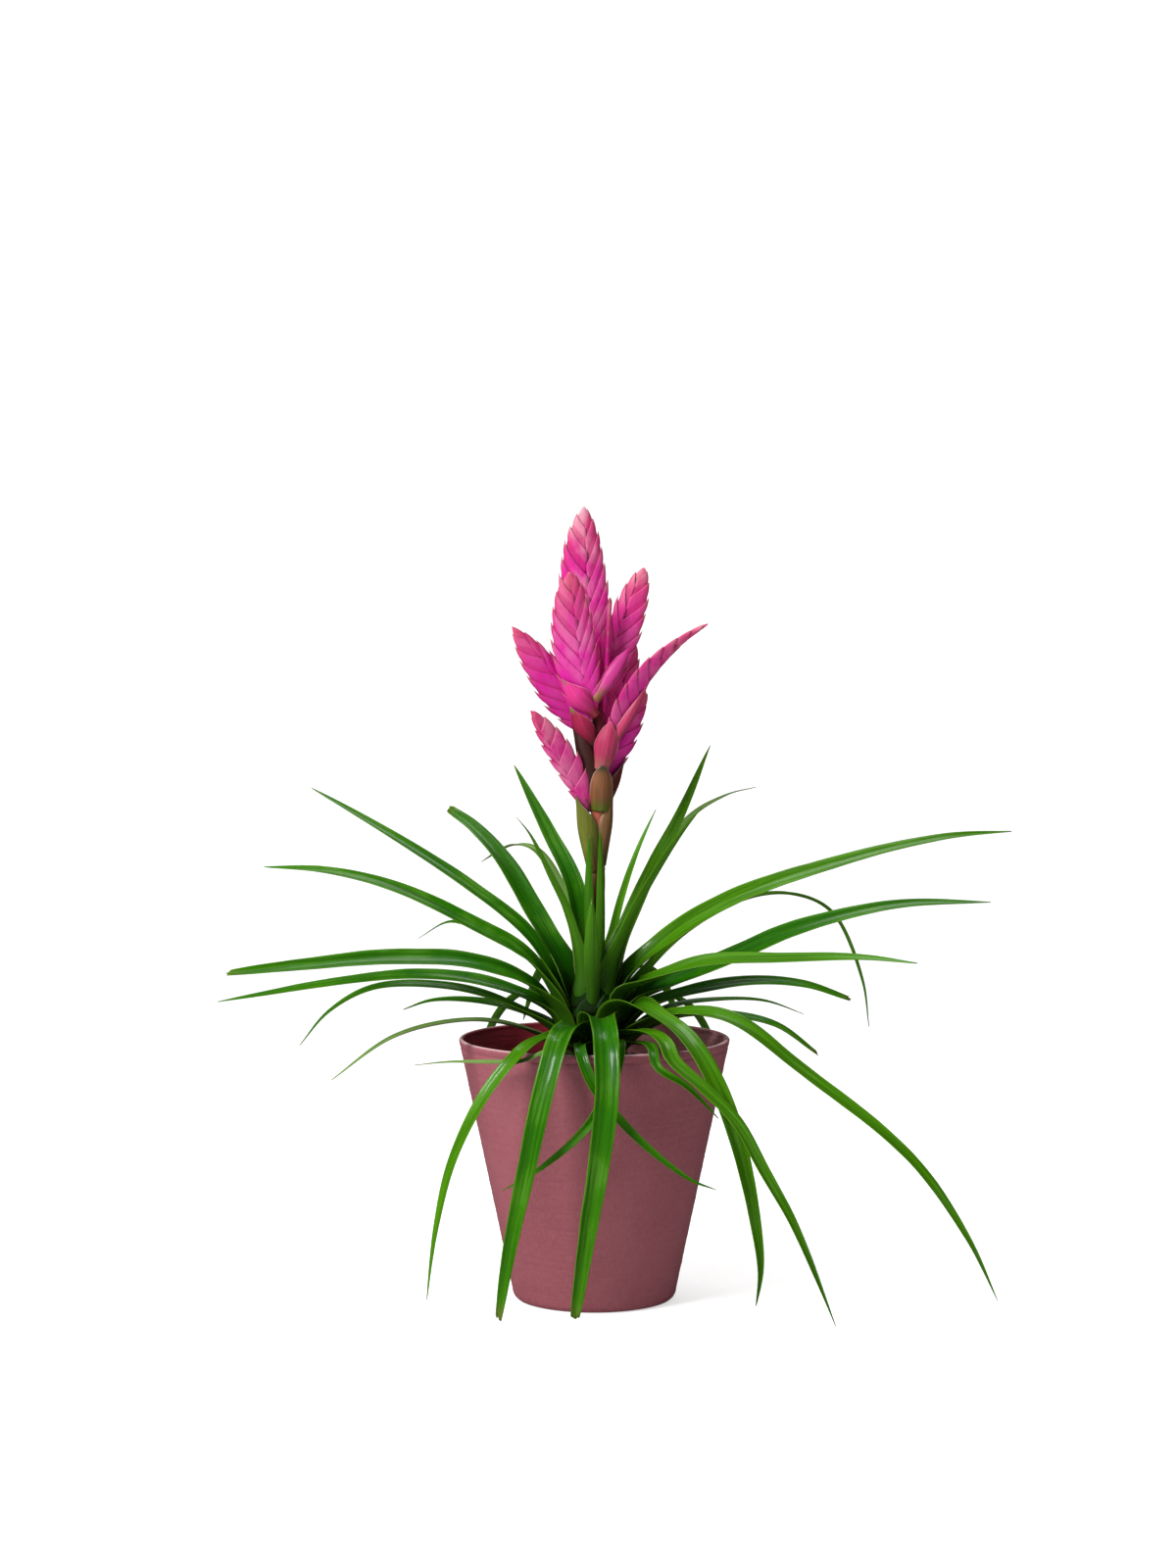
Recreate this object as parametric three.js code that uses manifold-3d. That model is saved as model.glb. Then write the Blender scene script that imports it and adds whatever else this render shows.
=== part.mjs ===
// A tillandsia hybrid in a tapered cover pot: a rosette of strap leaves round a short crown,
// and a flower stalk with flattened spikes of pink bracts in two ranks.
// Millimetres, +Z up. The origin is the centre of the pot's foot, on the surface that it stands on.
// The front of the plant looks along -Y, and +X is to its right.

import * as THREE from "three";
import { mergeVertices } from "three/addons/utils/BufferGeometryUtils.js";
import { ConvexGeometry } from "three/addons/geometries/ConvexGeometry.js";
import Module from "manifold-3d";

const wasm = await Module();
wasm.setup();

// Pot: a cover pot 160 mm across and 154 mm high, its wall 12 degrees off upright.
const POT_HEIGHT = 154;
const POT_RIM_RADIUS = 80;
const POT_SLOPE = Math.tan(THREE.MathUtils.degToRad(12));
const POT_WALL = 2.8;
const POT_FLOOR = 4;
const POT_FOOT_RADIUS = 44;
const POT_CORNER = [[2.2, 1], [3.6, 3]];
const POT_CORNER_HEIGHT = 6;
const POT_INNER_CORNER = 4;
const POT_LINE_DROP = 5;
const POT_LINE_DEPTH = 0.6;
const POT_LIP = 0.8;
const POT_SEGMENTS = 48;

// Potting mix: fills the pot to 22 mm under the rim.
const MIX_TOP = 132;
const MIX_RINGS = 5;
const MIX_SEGMENTS = 24;
const MIX_RELIEF = 1.6;
const CHIP_COUNT = 18;
const CHIP_SIZE = 6.5;
const CHIP_NEAREST = 24;
const CHIP_SPREAD = 42;
const GOLDEN_ANGLE = Math.PI * (3 - Math.sqrt(5));

// Crown: the short stem and the leaf bases packed round it, as [radius, height], on a plug that
// stands in the mix.
const CROWN_FOOT = 114;
const CROWN_PLUG_RADIUS = 12;
const CROWN_PROFILE = [
  [CROWN_PLUG_RADIUS, 136],
  [17, 146],
  [18.5, 156],
  [16.5, 167],
  [13, 178],
  [9.5, 188],
];
const CROWN_TOP = 194;
const CROWN_TOP_RADIUS = 7.6;
const CROWN_SEGMENTS = 18;
const PUP_COUNT = 4;
const PUP_LENGTH = 17;
const PUP_RADIUS = 3.2;
const PUP_SUNK = 4;
const PUP_HEIGHT = 139;
const PUP_LEAN = 43;
const PUP_FIRST = -112;
const PUP_STEP = 97;

// Gap between pieces that touch, and the wider one of a leaf's slot in the crown.
const GAP = 0.35;
const SLOT_GAP = 0.45;

// Leaves: strap blades with a shallow channel along the middle.
const LEAF_STATION_SPACING = 17.5;
const LEAF_THICKNESS = 0.95;
const LEAF_EDGE_THICKNESS = 0.75;
const LEAF_ROOT_DEPTH = 5;
const LEAF_CHANNEL = 0.34;
const LEAF_SLOT_RINGS = 3;
const LEAF_LEAST_RINGS = 7;
const LEAF_ROLL_FROM = 12;
const LEAF_ROLL_TO = 70;
const LEAF_ROOT_WIDTH = 0.8;
const LEAF_POINT = 0.09;

// Flower stalk: its axis as points, with the axis radius at its foot and at its top, and the
// sizes of the bract under each side spike.
const STALK_FOOT = 170;
const STALK_RADIUS = 4.4;
const STALK_TOP_RADIUS = 2.8;
const STALK_SIDES = 8;
const STALK_STEPS = 16;
const PRIMARY_LENGTH = 22;
const PRIMARY_CLEARANCE = 1;
const PRIMARY_FOOT_DROP = 13;
const STALK_ROUTE = [
  [0.5, 0, STALK_FOOT],
  [0.5, 0, 203],
  [1, 0, 240],
  [1.5, 0, 268],
  [3, 0, 298],
  [3, 0.8, 323],
  [1.8, 2.6, 343],
  [0, 5, 358],
];

// Spikes: flat shoots of folded bracts in two ranks.
const BRACT_PITCH = 14.5;
const BRACT_LENGTH = 1.5 * BRACT_PITCH;
const BRACT_FIRST = 0.26;
const BRACT_LAST = 0.95;
const BRACT_DROP = 0.9;
const BRACT_SHOULDER = 0.6;
const BRACT_TIP_OUT = 0.5;
const SPIKE_THICKNESS = 5;
const SPIKE_FOOT_SHARE = 0.09;
const SPIKE_SWELL_SHARE = 0.41;
const END_BRACT_FROM = 0.88;

// Finishes: a colour and a roughness each.
const POT_ROSE = [0xa56d72, 0.6];
const BARK_BROWN = [0x4a3524, 0.95];
const DEEP_GREEN = [0x1f5f17, 0.6];
const LEAF_GREEN = [0x2f7a1e, 0.35];
const GREY_GREEN = [0x7d9060, 0.55];
const STALK_ROSE = [0x8a4f4a, 0.5];
const SPIKE_PINK = [0xd4218f, 0.45];

// Each leaf: bearing round the crown in degrees from +X, height of its foot on the crown, widest
// width, roll of its upper face about its own midline, and its midline as [out, up, aside] from
// the crown's axis. A tip is pointed unless its width is given, and a dull leaf is grey-green.
const LEFT_LEAVES = [
  {
    bearing: 172, foot: 170, width: 12, roll: -35,
    route: [[39, 213], [74, 242], [121, 272], [170, 300]],
  },
  {
    bearing: -174, foot: 165, width: 13, roll: -38,
    route: [[38, 200], [73, 222], [119, 244], [159, 254], [193, 256]],
  },
  {
    bearing: 142, foot: 173.5, width: 14, roll: -25, tip: 6,
    route: [[23, 194], [46, 226], [68, 254], [92, 274], [113, 285]],
  },
  {
    bearing: 128, foot: 186, width: 14, roll: -10,
    route: [[11, 204], [20, 242], [45, 273], [79, 312]],
  },
  {
    bearing: -142, foot: 178, width: 9,
    route: [[11, 196], [19, 226], [34, 253], [47, 275], [57, 286]],
  },
  {
    bearing: 116, foot: 180, width: 8, dull: true,
    route: [[19, 202], [33, 223], [55, 246], [80, 259], [113, 261], [164, 247]],
  },
  {
    bearing: 152, foot: 163, width: 7, roll: -25,
    route: [[27, 187], [51, 202], [71, 211], [98, 218], [121, 207]],
  },
  {
    bearing: -160, foot: 158, width: 14, roll: -40, tip: 4,
    route: [[24, 170], [41, 187], [77, 201], [124, 205], [175, 203], [220, 200]],
  },
  {
    bearing: 178, foot: 152.5, width: 12, roll: -30,
    route: [[27, 169], [62, 185], [102, 190], [151, 186], [223, 174]],
  },
  {
    bearing: -168, foot: 147, width: 10, roll: -20,
    route: [[27, 160], [62, 179], [97, 187], [132, 186], [157, 173], [174, 154]],
  },
  {
    bearing: 163, foot: 143, width: 9, roll: -20,
    route: [[27, 159], [50, 169], [77, 173], [102, 172], [120, 166]],
  },
  {
    bearing: -152, foot: 141, width: 8, roll: -10, dull: true,
    route: [[30, 154], [56, 165], [87, 169], [130, 162], [168, 140]],
  },
];
const FRONT_LEAVES = [
  {
    bearing: -108, foot: 139, width: 5.5, dull: true,
    route: [
      [36, 150], [64, 156.6], [81, 156.6, -1], [86, 150, -16.5],
      [87, 149.5, -28.5], [92.5, 149, -58], [96, 147, -76],
    ],
  },
  {
    bearing: -118, foot: 147, width: 10,
    route: [
      [34, 158], [62, 160], [88, 156], [104, 134, -13],
      [113, 98, -29], [116, 58, -39], [117, 16, -45],
    ],
  },
  {
    bearing: -104, foot: 152, width: 14, tip: 4,
    route: [
      [34, 163], [60, 167], [84, 162], [98, 134, -5],
      [104, 88, -14], [107, 48, -22], [106, 8, -29],
    ],
  },
  {
    bearing: -86, foot: 157, width: 15, tip: 5,
    route: [[34, 168], [62, 171], [84, 164], [98, 138], [102, 103, -4], [101, 58, -11], [97, 9, -18]],
  },
  {
    bearing: -80, foot: 146, width: 7.5,
    route: [
      [34, 155], [64, 159.5], [80, 160], [87, 145, -4],
      [86, 118, -17], [80, 92, -44], [74, 78, -66],
    ],
  },
  {
    bearing: -96, foot: 143.2, width: 7,
    route: [
      [34, 154], [64, 158], [80.5, 158], [90, 140, 8],
      [89, 120, 23], [87, 102, 41], [82, 85, 63], [78, 79, 77],
    ],
  },
  {
    bearing: -50, foot: 162, width: 14,
    route: [
      [24, 171], [36, 175.5], [56, 171], [80, 161.5], [105, 138],
      [119, 111, 2], [128, 75, 6], [134, 37, 8], [133, 16, 6],
    ],
  },
  {
    bearing: -62, foot: 149.5, width: 11,
    route: [
      [36, 158.5], [66, 163.5], [84, 159.5], [93, 151], [110, 136.5, 11],
      [125, 120, 22], [138, 91, 34], [148, 64, 46], [162, 8, 65],
    ],
  },
  {
    bearing: -65, foot: 140, width: 8,
    route: [[36, 153], [64, 158], [81, 157.5, -2], [92, 148, -4], [102, 138, 9], [110, 120, 25]],
  },
];
const RIGHT_LEAVES = [
  {
    bearing: -22, foot: 153, width: 13, roll: 20,
    route: [[45, 168], [82, 169], [129, 140], [193, 94], [225, 53], [244, 17]],
  },
  {
    bearing: -3, foot: 145.5, width: 10, roll: 15, tip: 4,
    route: [[28, 156.5], [48, 166], [72, 168], [106, 162], [131, 145]],
  },
  {
    bearing: 20, foot: 151, width: 7, roll: 15,
    route: [[46, 169], [77, 173], [109, 171], [135, 162]],
  },
  {
    bearing: 8, foot: 157.5, width: 12, roll: 30, tip: 4,
    route: [[31, 170], [55, 179], [92, 185], [126, 183], [154, 174]],
  },
  {
    bearing: -18, foot: 169, width: 13, roll: 30,
    route: [[18, 180], [32, 187.5], [66, 200], [115, 204], [161, 206], [193, 204]],
  },
  {
    bearing: 5, foot: 161, width: 15, roll: 35,
    route: [[25, 174], [46, 185], [83, 201], [124, 218], [183, 231], [237, 232]],
  },
  {
    bearing: 16, foot: 172, width: 14, roll: 35,
    route: [[20, 187], [44, 210], [85, 233], [149, 253], [219, 268], [266, 271]],
  },
  {
    bearing: 36, foot: 166, width: 8,
    route: [[39, 191], [68, 212], [114, 230], [153, 231], [185, 217], [209, 174], [215, 144]],
  },
  {
    bearing: 54, foot: 175.5, width: 7, dull: true,
    route: [[27, 203], [44, 226], [64, 251], [96, 277], [140, 291], [175, 295]],
  },
  {
    bearing: 42, foot: 183, width: 12, roll: 10,
    route: [[15, 195], [30, 224], [50, 255], [71, 284], [95, 324]],
  },
  {
    bearing: -45, foot: 178, width: 9,
    route: [[14, 195], [26, 219], [45, 247], [68, 275], [86, 293]],
  },
  {
    bearing: 69, foot: 179.2, width: 5.5,
    route: [[18, 195], [27, 208], [46, 233], [73, 259], [107, 283]],
  },
];
const HEART_LEAVES = [
  { bearing: -94, foot: 174.5, width: 11, route: [[16, 186], [21, 204], [24, 224], [22, 238]] },
  { bearing: -107, foot: 187.5, width: 6, route: [[10.5, 204], [11.5, 243], [10.5, 275]] },
  { bearing: -60, foot: 184.5, width: 6, route: [[10.5, 204], [11, 243], [10, 278]] },
];
const BACK_LEAVES = [
  {
    bearing: 92, foot: 168, width: 12,
    route: [[20, 186], [40, 203], [80, 213], [125, 207], [170, 184]],
  },
  {
    bearing: 106, foot: 162, width: 11,
    route: [[22, 177], [45, 188], [85, 191], [130, 175], [165, 144]],
  },
  {
    bearing: 70, foot: 160, width: 11,
    route: [[22, 174], [45, 184], [85, 187], [130, 170], [165, 136]],
  },
  {
    bearing: 122, foot: 153, width: 10,
    route: [[22, 163], [50, 171], [85, 171], [120, 148], [140, 106]],
  },
  {
    bearing: 54, foot: 151, width: 10,
    route: [[22, 161], [50, 168], [85, 169], [118, 146], [136, 104]],
  },
  {
    bearing: 90, foot: 146, width: 10,
    route: [[22, 155], [50, 162], [85, 164], [115, 136], [128, 90]],
  },
];
const LEAVES = [...LEFT_LEAVES, ...FRONT_LEAVES, ...RIGHT_LEAVES, ...HEART_LEAVES, ...BACK_LEAVES];

// Each spike: the points where it starts and ends, its widest width, the bearing that its flat
// side faces, and how far its middle bows to its right and to its back. The first ends the stalk.
const SPIKES = [
  { from: [0, 5, 355], to: [-6, 5, 464], width: 30, faces: -90, bow: [-3, 0] },
  { from: [-1, -3, 334], to: [-14, -25, 425], width: 29, faces: -98, bow: [-1, 0] },
  { from: [2.5, 2, 348], to: [27, -1, 430], width: 21, faces: -95, bow: [0.5, 0] },
  { from: [5.5, -2.6, 345], to: [9, -12.6, 411], width: 8, faces: 3, bow: [0, 0] },
  { from: [-1.5, 3, 331], to: [-47, -2, 394], width: 22, faces: -95, bow: [0, 0] },
  { from: [-2, -2, 287], to: [-36, -16, 345], width: 19, faces: -75, bow: [1.5, 0] },
  { from: [5, -3, 313], to: [65, -34, 396], width: 20, faces: -20, bow: [-2, 11] },
  { from: [5, 3.5, 330], to: [23, 14, 384], width: 17, faces: -80, bow: [0, 0] },
  { from: [5, 3, 303], to: [29.5, 18, 356], width: 14, faces: -65, bow: [0, 0] },
];

// Clasping bracts on the bare stalk: height of the foot, length, bearing, spread and how far
// the tip stands out.
const STALK_BRACTS = [
  { foot: 203, length: 46, bearing: 160, spread: 5.8, tip: 6 },
  { foot: 224, length: 46, bearing: -20, spread: 6.4, tip: 5.8 },
  { foot: 246, length: 40, bearing: 200, spread: 7.6, tip: 10.5 },
  { foot: 262, length: 30, bearing: -70, spread: 6.6, tip: 6.4 },
  { foot: 274, length: 30, bearing: 20, spread: 8.4, tip: 9 },
];

// One vertex of a mesh, while it is moved.
const vertex = new THREE.Vector3();

// A seeded draw between 0 and 1, the same each run.
function seeded(seed) {
  let state = seed;
  return () => {
    state = (state * 1664525 + 1013904223) % 4294967296;
    return state / 4294967296;
  };
}

// A closed three.js geometry as a solid that can be joined and cut.
function solidOf(geometry) {
  const plain = geometry.clone();
  plain.deleteAttribute("normal");
  plain.deleteAttribute("uv");
  const merged = mergeVertices(plain, 1e-4);
  const triVerts = new Uint32Array(merged.index.array);
  const vertProperties = new Float32Array(merged.attributes.position.array);
  return new wasm.Manifold(new wasm.Mesh({ numProp: 3, vertProperties, triVerts }));
}

// The largest body of a solid as a three.js geometry, without the loose scraps a cut leaves.
function geometryOf(solid) {
  const bodies = solid.decompose().sort((a, b) => b.volume() - a.volume());
  const mesh = bodies[0].getMesh();
  const geometry = new THREE.BufferGeometry();
  geometry.setAttribute("position", new THREE.BufferAttribute(new Float32Array(mesh.vertProperties), 3));
  geometry.setIndex(new THREE.BufferAttribute(new Uint32Array(mesh.triVerts), 1));
  return geometry;
}

// A named mesh with its own material; flat faces get their own normals.
function part(name, geometry, [color, roughness]) {
  const shaded = geometry.index ? geometry.toNonIndexed() : geometry;
  shaded.computeVertexNormals();
  const material = new THREE.MeshStandardMaterial({ color, roughness, metalness: 0 });
  const mesh = new THREE.Mesh(shaded, material);
  mesh.name = name;
  return mesh;
}

// Hull of points given as [x, y, z].
function hull(points) {
  return solidOf(new ConvexGeometry(points.map((p) => new THREE.Vector3(...p))));
}

// Closed skin over rings of six points: three on a blade's upper face, then three below. Both
// faces are split into triangles alike, so a thin blade never cuts itself.
function bladeGeometry(rings) {
  const positions = rings.flat().flatMap((p) => [p.x, p.y, p.z]);
  const index = [];
  for (let i = 0; i + 1 < rings.length; i += 1) {
    for (let j = 0; j < 6; j += 1) {
      const a = i * 6 + j;
      const b = i * 6 + ((j + 1) % 6);
      if (j > 2) {
        index.push(a, b, a + 6, b, b + 6, a + 6);
      } else {
        index.push(a, b, b + 6, a, b + 6, a + 6);
      }
    }
  }
  const last = (rings.length - 1) * 6;
  index.push(0, 4, 1, 0, 5, 4, 1, 3, 2, 1, 4, 3);
  index.push(last, last + 1, last + 4, last, last + 4, last + 5);
  index.push(last + 1, last + 2, last + 3, last + 1, last + 3, last + 4);
  const geometry = new THREE.BufferGeometry();
  geometry.setAttribute("position", new THREE.Float32BufferAttribute(positions, 3));
  geometry.setIndex(index);
  return geometry;
}

// Radius of the crown at a height.
function crownRadius(z) {
  const after = CROWN_PROFILE.findIndex((p) => p[1] >= z);
  const [r1, z1] = CROWN_PROFILE[after];
  const [r0, z0] = CROWN_PROFILE[after - 1];
  return THREE.MathUtils.mapLinear(z, z0, z1, r0, r1);
}

// A leaf's midline: from inside the crown out along its route.
function leafCurve(leaf) {
  const angle = THREE.MathUtils.degToRad(leaf.bearing);
  const outward = new THREE.Vector3(Math.cos(angle), Math.sin(angle), 0);
  const aside = new THREE.Vector3(-Math.sin(angle), Math.cos(angle), 0);
  const place = ([out, up, side = 0]) =>
    new THREE.Vector3(0, 0, up).addScaledVector(outward, out).addScaledVector(aside, side);
  const points = leaf.route.map(place);
  const foot = place([crownRadius(leaf.foot), leaf.foot]);
  const inward = foot.clone().sub(points[0]).normalize();
  inward.lerp(outward.clone().negate(), 0.25).normalize();
  const root = foot.clone().addScaledVector(inward, LEAF_ROOT_DEPTH);
  return new THREE.CatmullRomCurve3([root, foot, ...points], false, "centripetal");
}

// Share of the widest width at a share of the length: a strap that narrows to its tip.
function leafTaper(leaf, t) {
  const root = THREE.MathUtils.lerp(LEAF_ROOT_WIDTH, 1, THREE.MathUtils.smoothstep(t, 0, 0.12));
  const end = leaf.tip ? leaf.tip / leaf.width : LEAF_POINT;
  return root * (end + (1 - end) * (1 - t ** 2.3) ** 0.85);
}

// A leaf blade. The grow value thickens it all round, for the slot that it stands in, which
// needs only the first few rings.
function leafGeometry(leaf, grow = 0, most = Infinity) {
  const curve = leafCurve(leaf);
  const length = curve.getLength();
  const stations = Math.max(LEAF_LEAST_RINGS, Math.round(length / LEAF_STATION_SPACING));
  const normal = new THREE.Vector3();
  const aside = new THREE.Vector3();
  const rings = [];
  for (let i = 0; i < Math.min(stations, most); i += 1) {
    const t = i / (stations - 1);
    const centre = curve.getPointAt(t);
    const tangent = curve.getTangentAt(t);
    if (i === 0) {
      const angle = THREE.MathUtils.degToRad(leaf.bearing);
      aside.set(-Math.sin(angle), Math.cos(angle), 0);
      centre.addScaledVector(tangent, -grow);
    }
    aside.addScaledVector(tangent, -aside.dot(tangent)).normalize();
    normal.crossVectors(tangent, aside);
    const rolled = THREE.MathUtils.smoothstep(t * length, LEAF_ROLL_FROM, LEAF_ROLL_TO);
    const roll = THREE.MathUtils.degToRad(leaf.roll ?? 0) * rolled;
    const side = aside.clone().applyAxisAngle(tangent, roll);
    const up = normal.clone().applyAxisAngle(tangent, roll);
    const half = (leaf.width * leafTaper(leaf, t)) / 2 + grow;
    const rise = half * LEAF_CHANNEL;
    const at = (across, lift) => centre.clone().addScaledVector(side, across).addScaledVector(up, lift);
    rings.push([
      at(half, rise + grow),
      at(0, grow),
      at(-half, rise + grow),
      at(-half, rise - LEAF_EDGE_THICKNESS - grow),
      at(0, -LEAF_THICKNESS - grow),
      at(half, rise - LEAF_EDGE_THICKNESS - grow),
    ]);
  }
  return bladeGeometry(rings);
}

// Half width of a spike at a share of its length.
function spikeHalf(spike, s) {
  const share = THREE.MathUtils.clamp(s, 0, 1);
  const swell = Math.max(0, Math.sin(Math.PI * share ** 0.9));
  return spike.width * (SPIKE_FOOT_SHARE + SPIKE_SWELL_SHARE * swell ** 0.75);
}

// Half thickness of a spike where its half width is this: thinner where it is narrow.
function spikeDepth(half) {
  return (SPIKE_THICKNESS / 2) * Math.min(1, 0.45 + half / 16);
}

// One folded bract of an upright spike. Its margin runs from the tip at the outer edge down to
// the midline, and its foot is under the bract below.
function bract(spike, length, s, rank) {
  const tip = s * length;
  const half = spikeHalf(spike, s - 0.04);
  const thick = spikeDepth(half);
  const middle = tip - half * BRACT_DROP;
  const shoulder = THREE.MathUtils.lerp(tip, middle, 0.46);
  const keel = Math.max(1, tip - 0.9 * BRACT_LENGTH);
  const foot = Math.max(0.5, middle - BRACT_LENGTH);
  const points = [
    [half + BRACT_TIP_OUT, 0, tip],
    [spikeHalf(spike, s - 0.2) * 0.86, 0, keel],
  ];
  for (const face of [-1, 1]) {
    points.push([half * BRACT_SHOULDER, face * thick * 0.74, shoulder]);
    points.push([-half * 0.08, face * thick, middle]);
    points.push([0, face * thick * 0.6, foot]);
  }
  return hull(points.map(([x, y, z]) => [rank * x, y, z]));
}

// Slim core of an upright spike, from its foot to the end bract.
function spikeCore(spike, length) {
  const foot = spikeHalf(spike, 0) * 0.6;
  const middle = spikeHalf(spike, 0.4) * 0.6;
  const thick = SPIKE_THICKNESS * 0.34;
  const points = [[0, 0, length * BRACT_LAST]];
  for (const side of [-1, 1]) {
    points.push([foot * side, thick * 0.8, 0]);
    points.push([foot * side, -thick * 0.8, 0]);
    points.push([middle * side, 0, length * 0.4]);
    points.push([0, thick * side, length * 0.38]);
  }
  return hull(points);
}

// The end bract of an upright spike.
function endBract(spike, length) {
  const half = spikeHalf(spike, END_BRACT_FROM);
  const points = [[0, 0, length]];
  for (const side of [-1, 1]) {
    points.push([half * side, 0, length * END_BRACT_FROM]);
    points.push([0, 1.3 * side, length * (END_BRACT_FROM - 0.02)]);
    points.push([0, 0.8 * side, length * 0.66]);
  }
  return hull(points);
}

// A whole spike, upright at the origin: a slim core with the bracts of both ranks over it.
function spikeSolid(spike, length) {
  let solid = spikeCore(spike, length).add(endBract(spike, length));
  const count = 2 * Math.round(length / BRACT_PITCH);
  for (let k = 0; k < count; k += 1) {
    const s = THREE.MathUtils.lerp(BRACT_FIRST, BRACT_LAST, k / (count - 1));
    solid = solid.add(bract(spike, length, s, k % 2 ? 1 : -1));
  }
  return solid;
}

// Turns an upright spike to its place on the stalk.
function spikePlace(spike) {
  const from = new THREE.Vector3(...spike.from);
  const along = new THREE.Vector3(...spike.to).sub(from).normalize();
  const angle = THREE.MathUtils.degToRad(spike.faces);
  const back = new THREE.Vector3(-Math.cos(angle), -Math.sin(angle), 0);
  back.addScaledVector(along, -back.dot(along)).normalize();
  const right = new THREE.Vector3().crossVectors(back, along);
  return new THREE.Matrix4().makeBasis(right, back, along).setPosition(from);
}

// A spike where it stands, bowed and turned to its place.
function placedSpike(spike) {
  const length = new THREE.Vector3(...spike.from).distanceTo(new THREE.Vector3(...spike.to));
  const geometry = geometryOf(spikeSolid(spike, length));
  const position = geometry.attributes.position;
  for (let i = 0; i < position.count; i += 1) {
    const share = position.getZ(i) / length;
    const bend = 4 * share * (1 - share);
    position.setX(i, position.getX(i) + spike.bow[0] * bend);
    position.setY(i, position.getY(i) + spike.bow[1] * bend);
  }
  return geometry.applyMatrix4(spikePlace(spike));
}

// The vertices of a geometry as points.
function verticesOf(geometry) {
  const position = geometry.attributes.position;
  const indices = Array.from({ length: position.count }, (_, i) => i);
  return indices.map((i) => new THREE.Vector3().fromBufferAttribute(position, i));
}

// The eight corners of a small cube round a point.
function cubeRound(point, reach) {
  const corners = [];
  for (const x of [-reach, reach]) {
    for (const y of [-reach, reach]) {
      corners.push(new THREE.Vector3(x, y, -reach).add(point));
      corners.push(new THREE.Vector3(x, y, reach).add(point));
    }
  }
  return corners;
}

// The room that a spike needs in the stalk: the hull of the spike, a gap larger all round.
function spikeRoom(geometry) {
  const outline = new ConvexGeometry(verticesOf(geometry));
  const corners = verticesOf(outline).flatMap((point) => cubeRound(point, GAP));
  return solidOf(new ConvexGeometry(corners));
}

// Radius of the pot's outer wall at a height.
function potRadius(z) {
  return POT_RIM_RADIUS - (POT_HEIGHT - z) * POT_SLOPE;
}

// The pot: the outline of its wall, outside up and inside down, turned round the axis.
function potGeometry() {
  const line = POT_HEIGHT - POT_LINE_DROP;
  const inner = (z) => potRadius(z) - POT_WALL;
  const profile = [
    [0, 0],
    [POT_FOOT_RADIUS, 0],
    ...POT_CORNER.map(([out, up]) => [POT_FOOT_RADIUS + out, up]),
    [potRadius(POT_CORNER_HEIGHT), POT_CORNER_HEIGHT],
    [potRadius(line - 1), line - 1],
    [potRadius(line) - POT_LINE_DEPTH, line],
    [potRadius(line + 1), line + 1],
    [potRadius(POT_HEIGHT - 1), POT_HEIGHT - 1],
    [potRadius(POT_HEIGHT) - POT_LIP, POT_HEIGHT],
    [inner(POT_HEIGHT) + POT_LIP, POT_HEIGHT],
    [inner(POT_HEIGHT), POT_HEIGHT - 1],
    [inner(POT_FLOOR + POT_INNER_CORNER), POT_FLOOR + POT_INNER_CORNER],
    [inner(POT_FLOOR) - POT_INNER_CORNER / 2, POT_FLOOR],
    [0, POT_FLOOR],
  ];
  return turned(profile, POT_SEGMENTS);
}

// An outline of [radius, height] points turned round the upright axis.
function turned(profile, segments) {
  const points = profile.map(([r, z]) => new THREE.Vector2(r, z));
  return new THREE.LatheGeometry(points, segments).rotateX(Math.PI / 2);
}

// Height of the mix over its mean level, smooth and the same each run.
function mixRelief(x, y) {
  return MIX_RELIEF * (Math.sin(x * 0.21 + 1) * Math.cos(y * 0.19) + 0.5 * Math.sin(x * 0.37 - y * 0.31));
}

// Body of the mix: a plug that follows the pot's inside a gap away, with an uneven top.
function mixBody() {
  const inner = (z) => potRadius(z) - POT_WALL - GAP;
  const floor = POT_FLOOR + GAP;
  const corner = floor + POT_INNER_CORNER + 1;
  const profile = [
    [0, floor],
    [inner(floor) - POT_INNER_CORNER, floor],
    [inner(corner), corner],
  ];
  for (let ring = 0; ring <= MIX_RINGS; ring += 1) {
    profile.push([inner(MIX_TOP) * (1 - ring / MIX_RINGS), MIX_TOP]);
  }
  const geometry = turned(profile, MIX_SEGMENTS);
  const position = geometry.attributes.position;
  for (let i = 0; i < position.count; i += 1) {
    vertex.fromBufferAttribute(position, i);
    const inside = Math.hypot(vertex.x, vertex.y) < inner(MIX_TOP) - 1;
    if (vertex.z > MIX_TOP - 1 && inside) {
      position.setZ(i, MIX_TOP + mixRelief(vertex.x, vertex.y));
    }
  }
  return solidOf(geometry);
}

// One bark chip: a small block of drawn size, tilted, lying half in the mix.
function barkChip(index, draw) {
  const chip = new THREE.BoxGeometry(
    CHIP_SIZE * (0.8 + draw()),
    CHIP_SIZE * (0.5 + 0.5 * draw()),
    CHIP_SIZE * (0.35 + 0.3 * draw()),
  );
  chip.rotateX(draw() - 0.5);
  chip.rotateY(draw() - 0.5);
  chip.rotateZ(draw() * Math.PI);
  const bearing = index * GOLDEN_ANGLE;
  const out = CHIP_NEAREST + CHIP_SPREAD * Math.sqrt((index + 0.5) / CHIP_COUNT);
  return chip.translate(Math.cos(bearing) * out, Math.sin(bearing) * out, MIX_TOP + 0.6);
}

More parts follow.
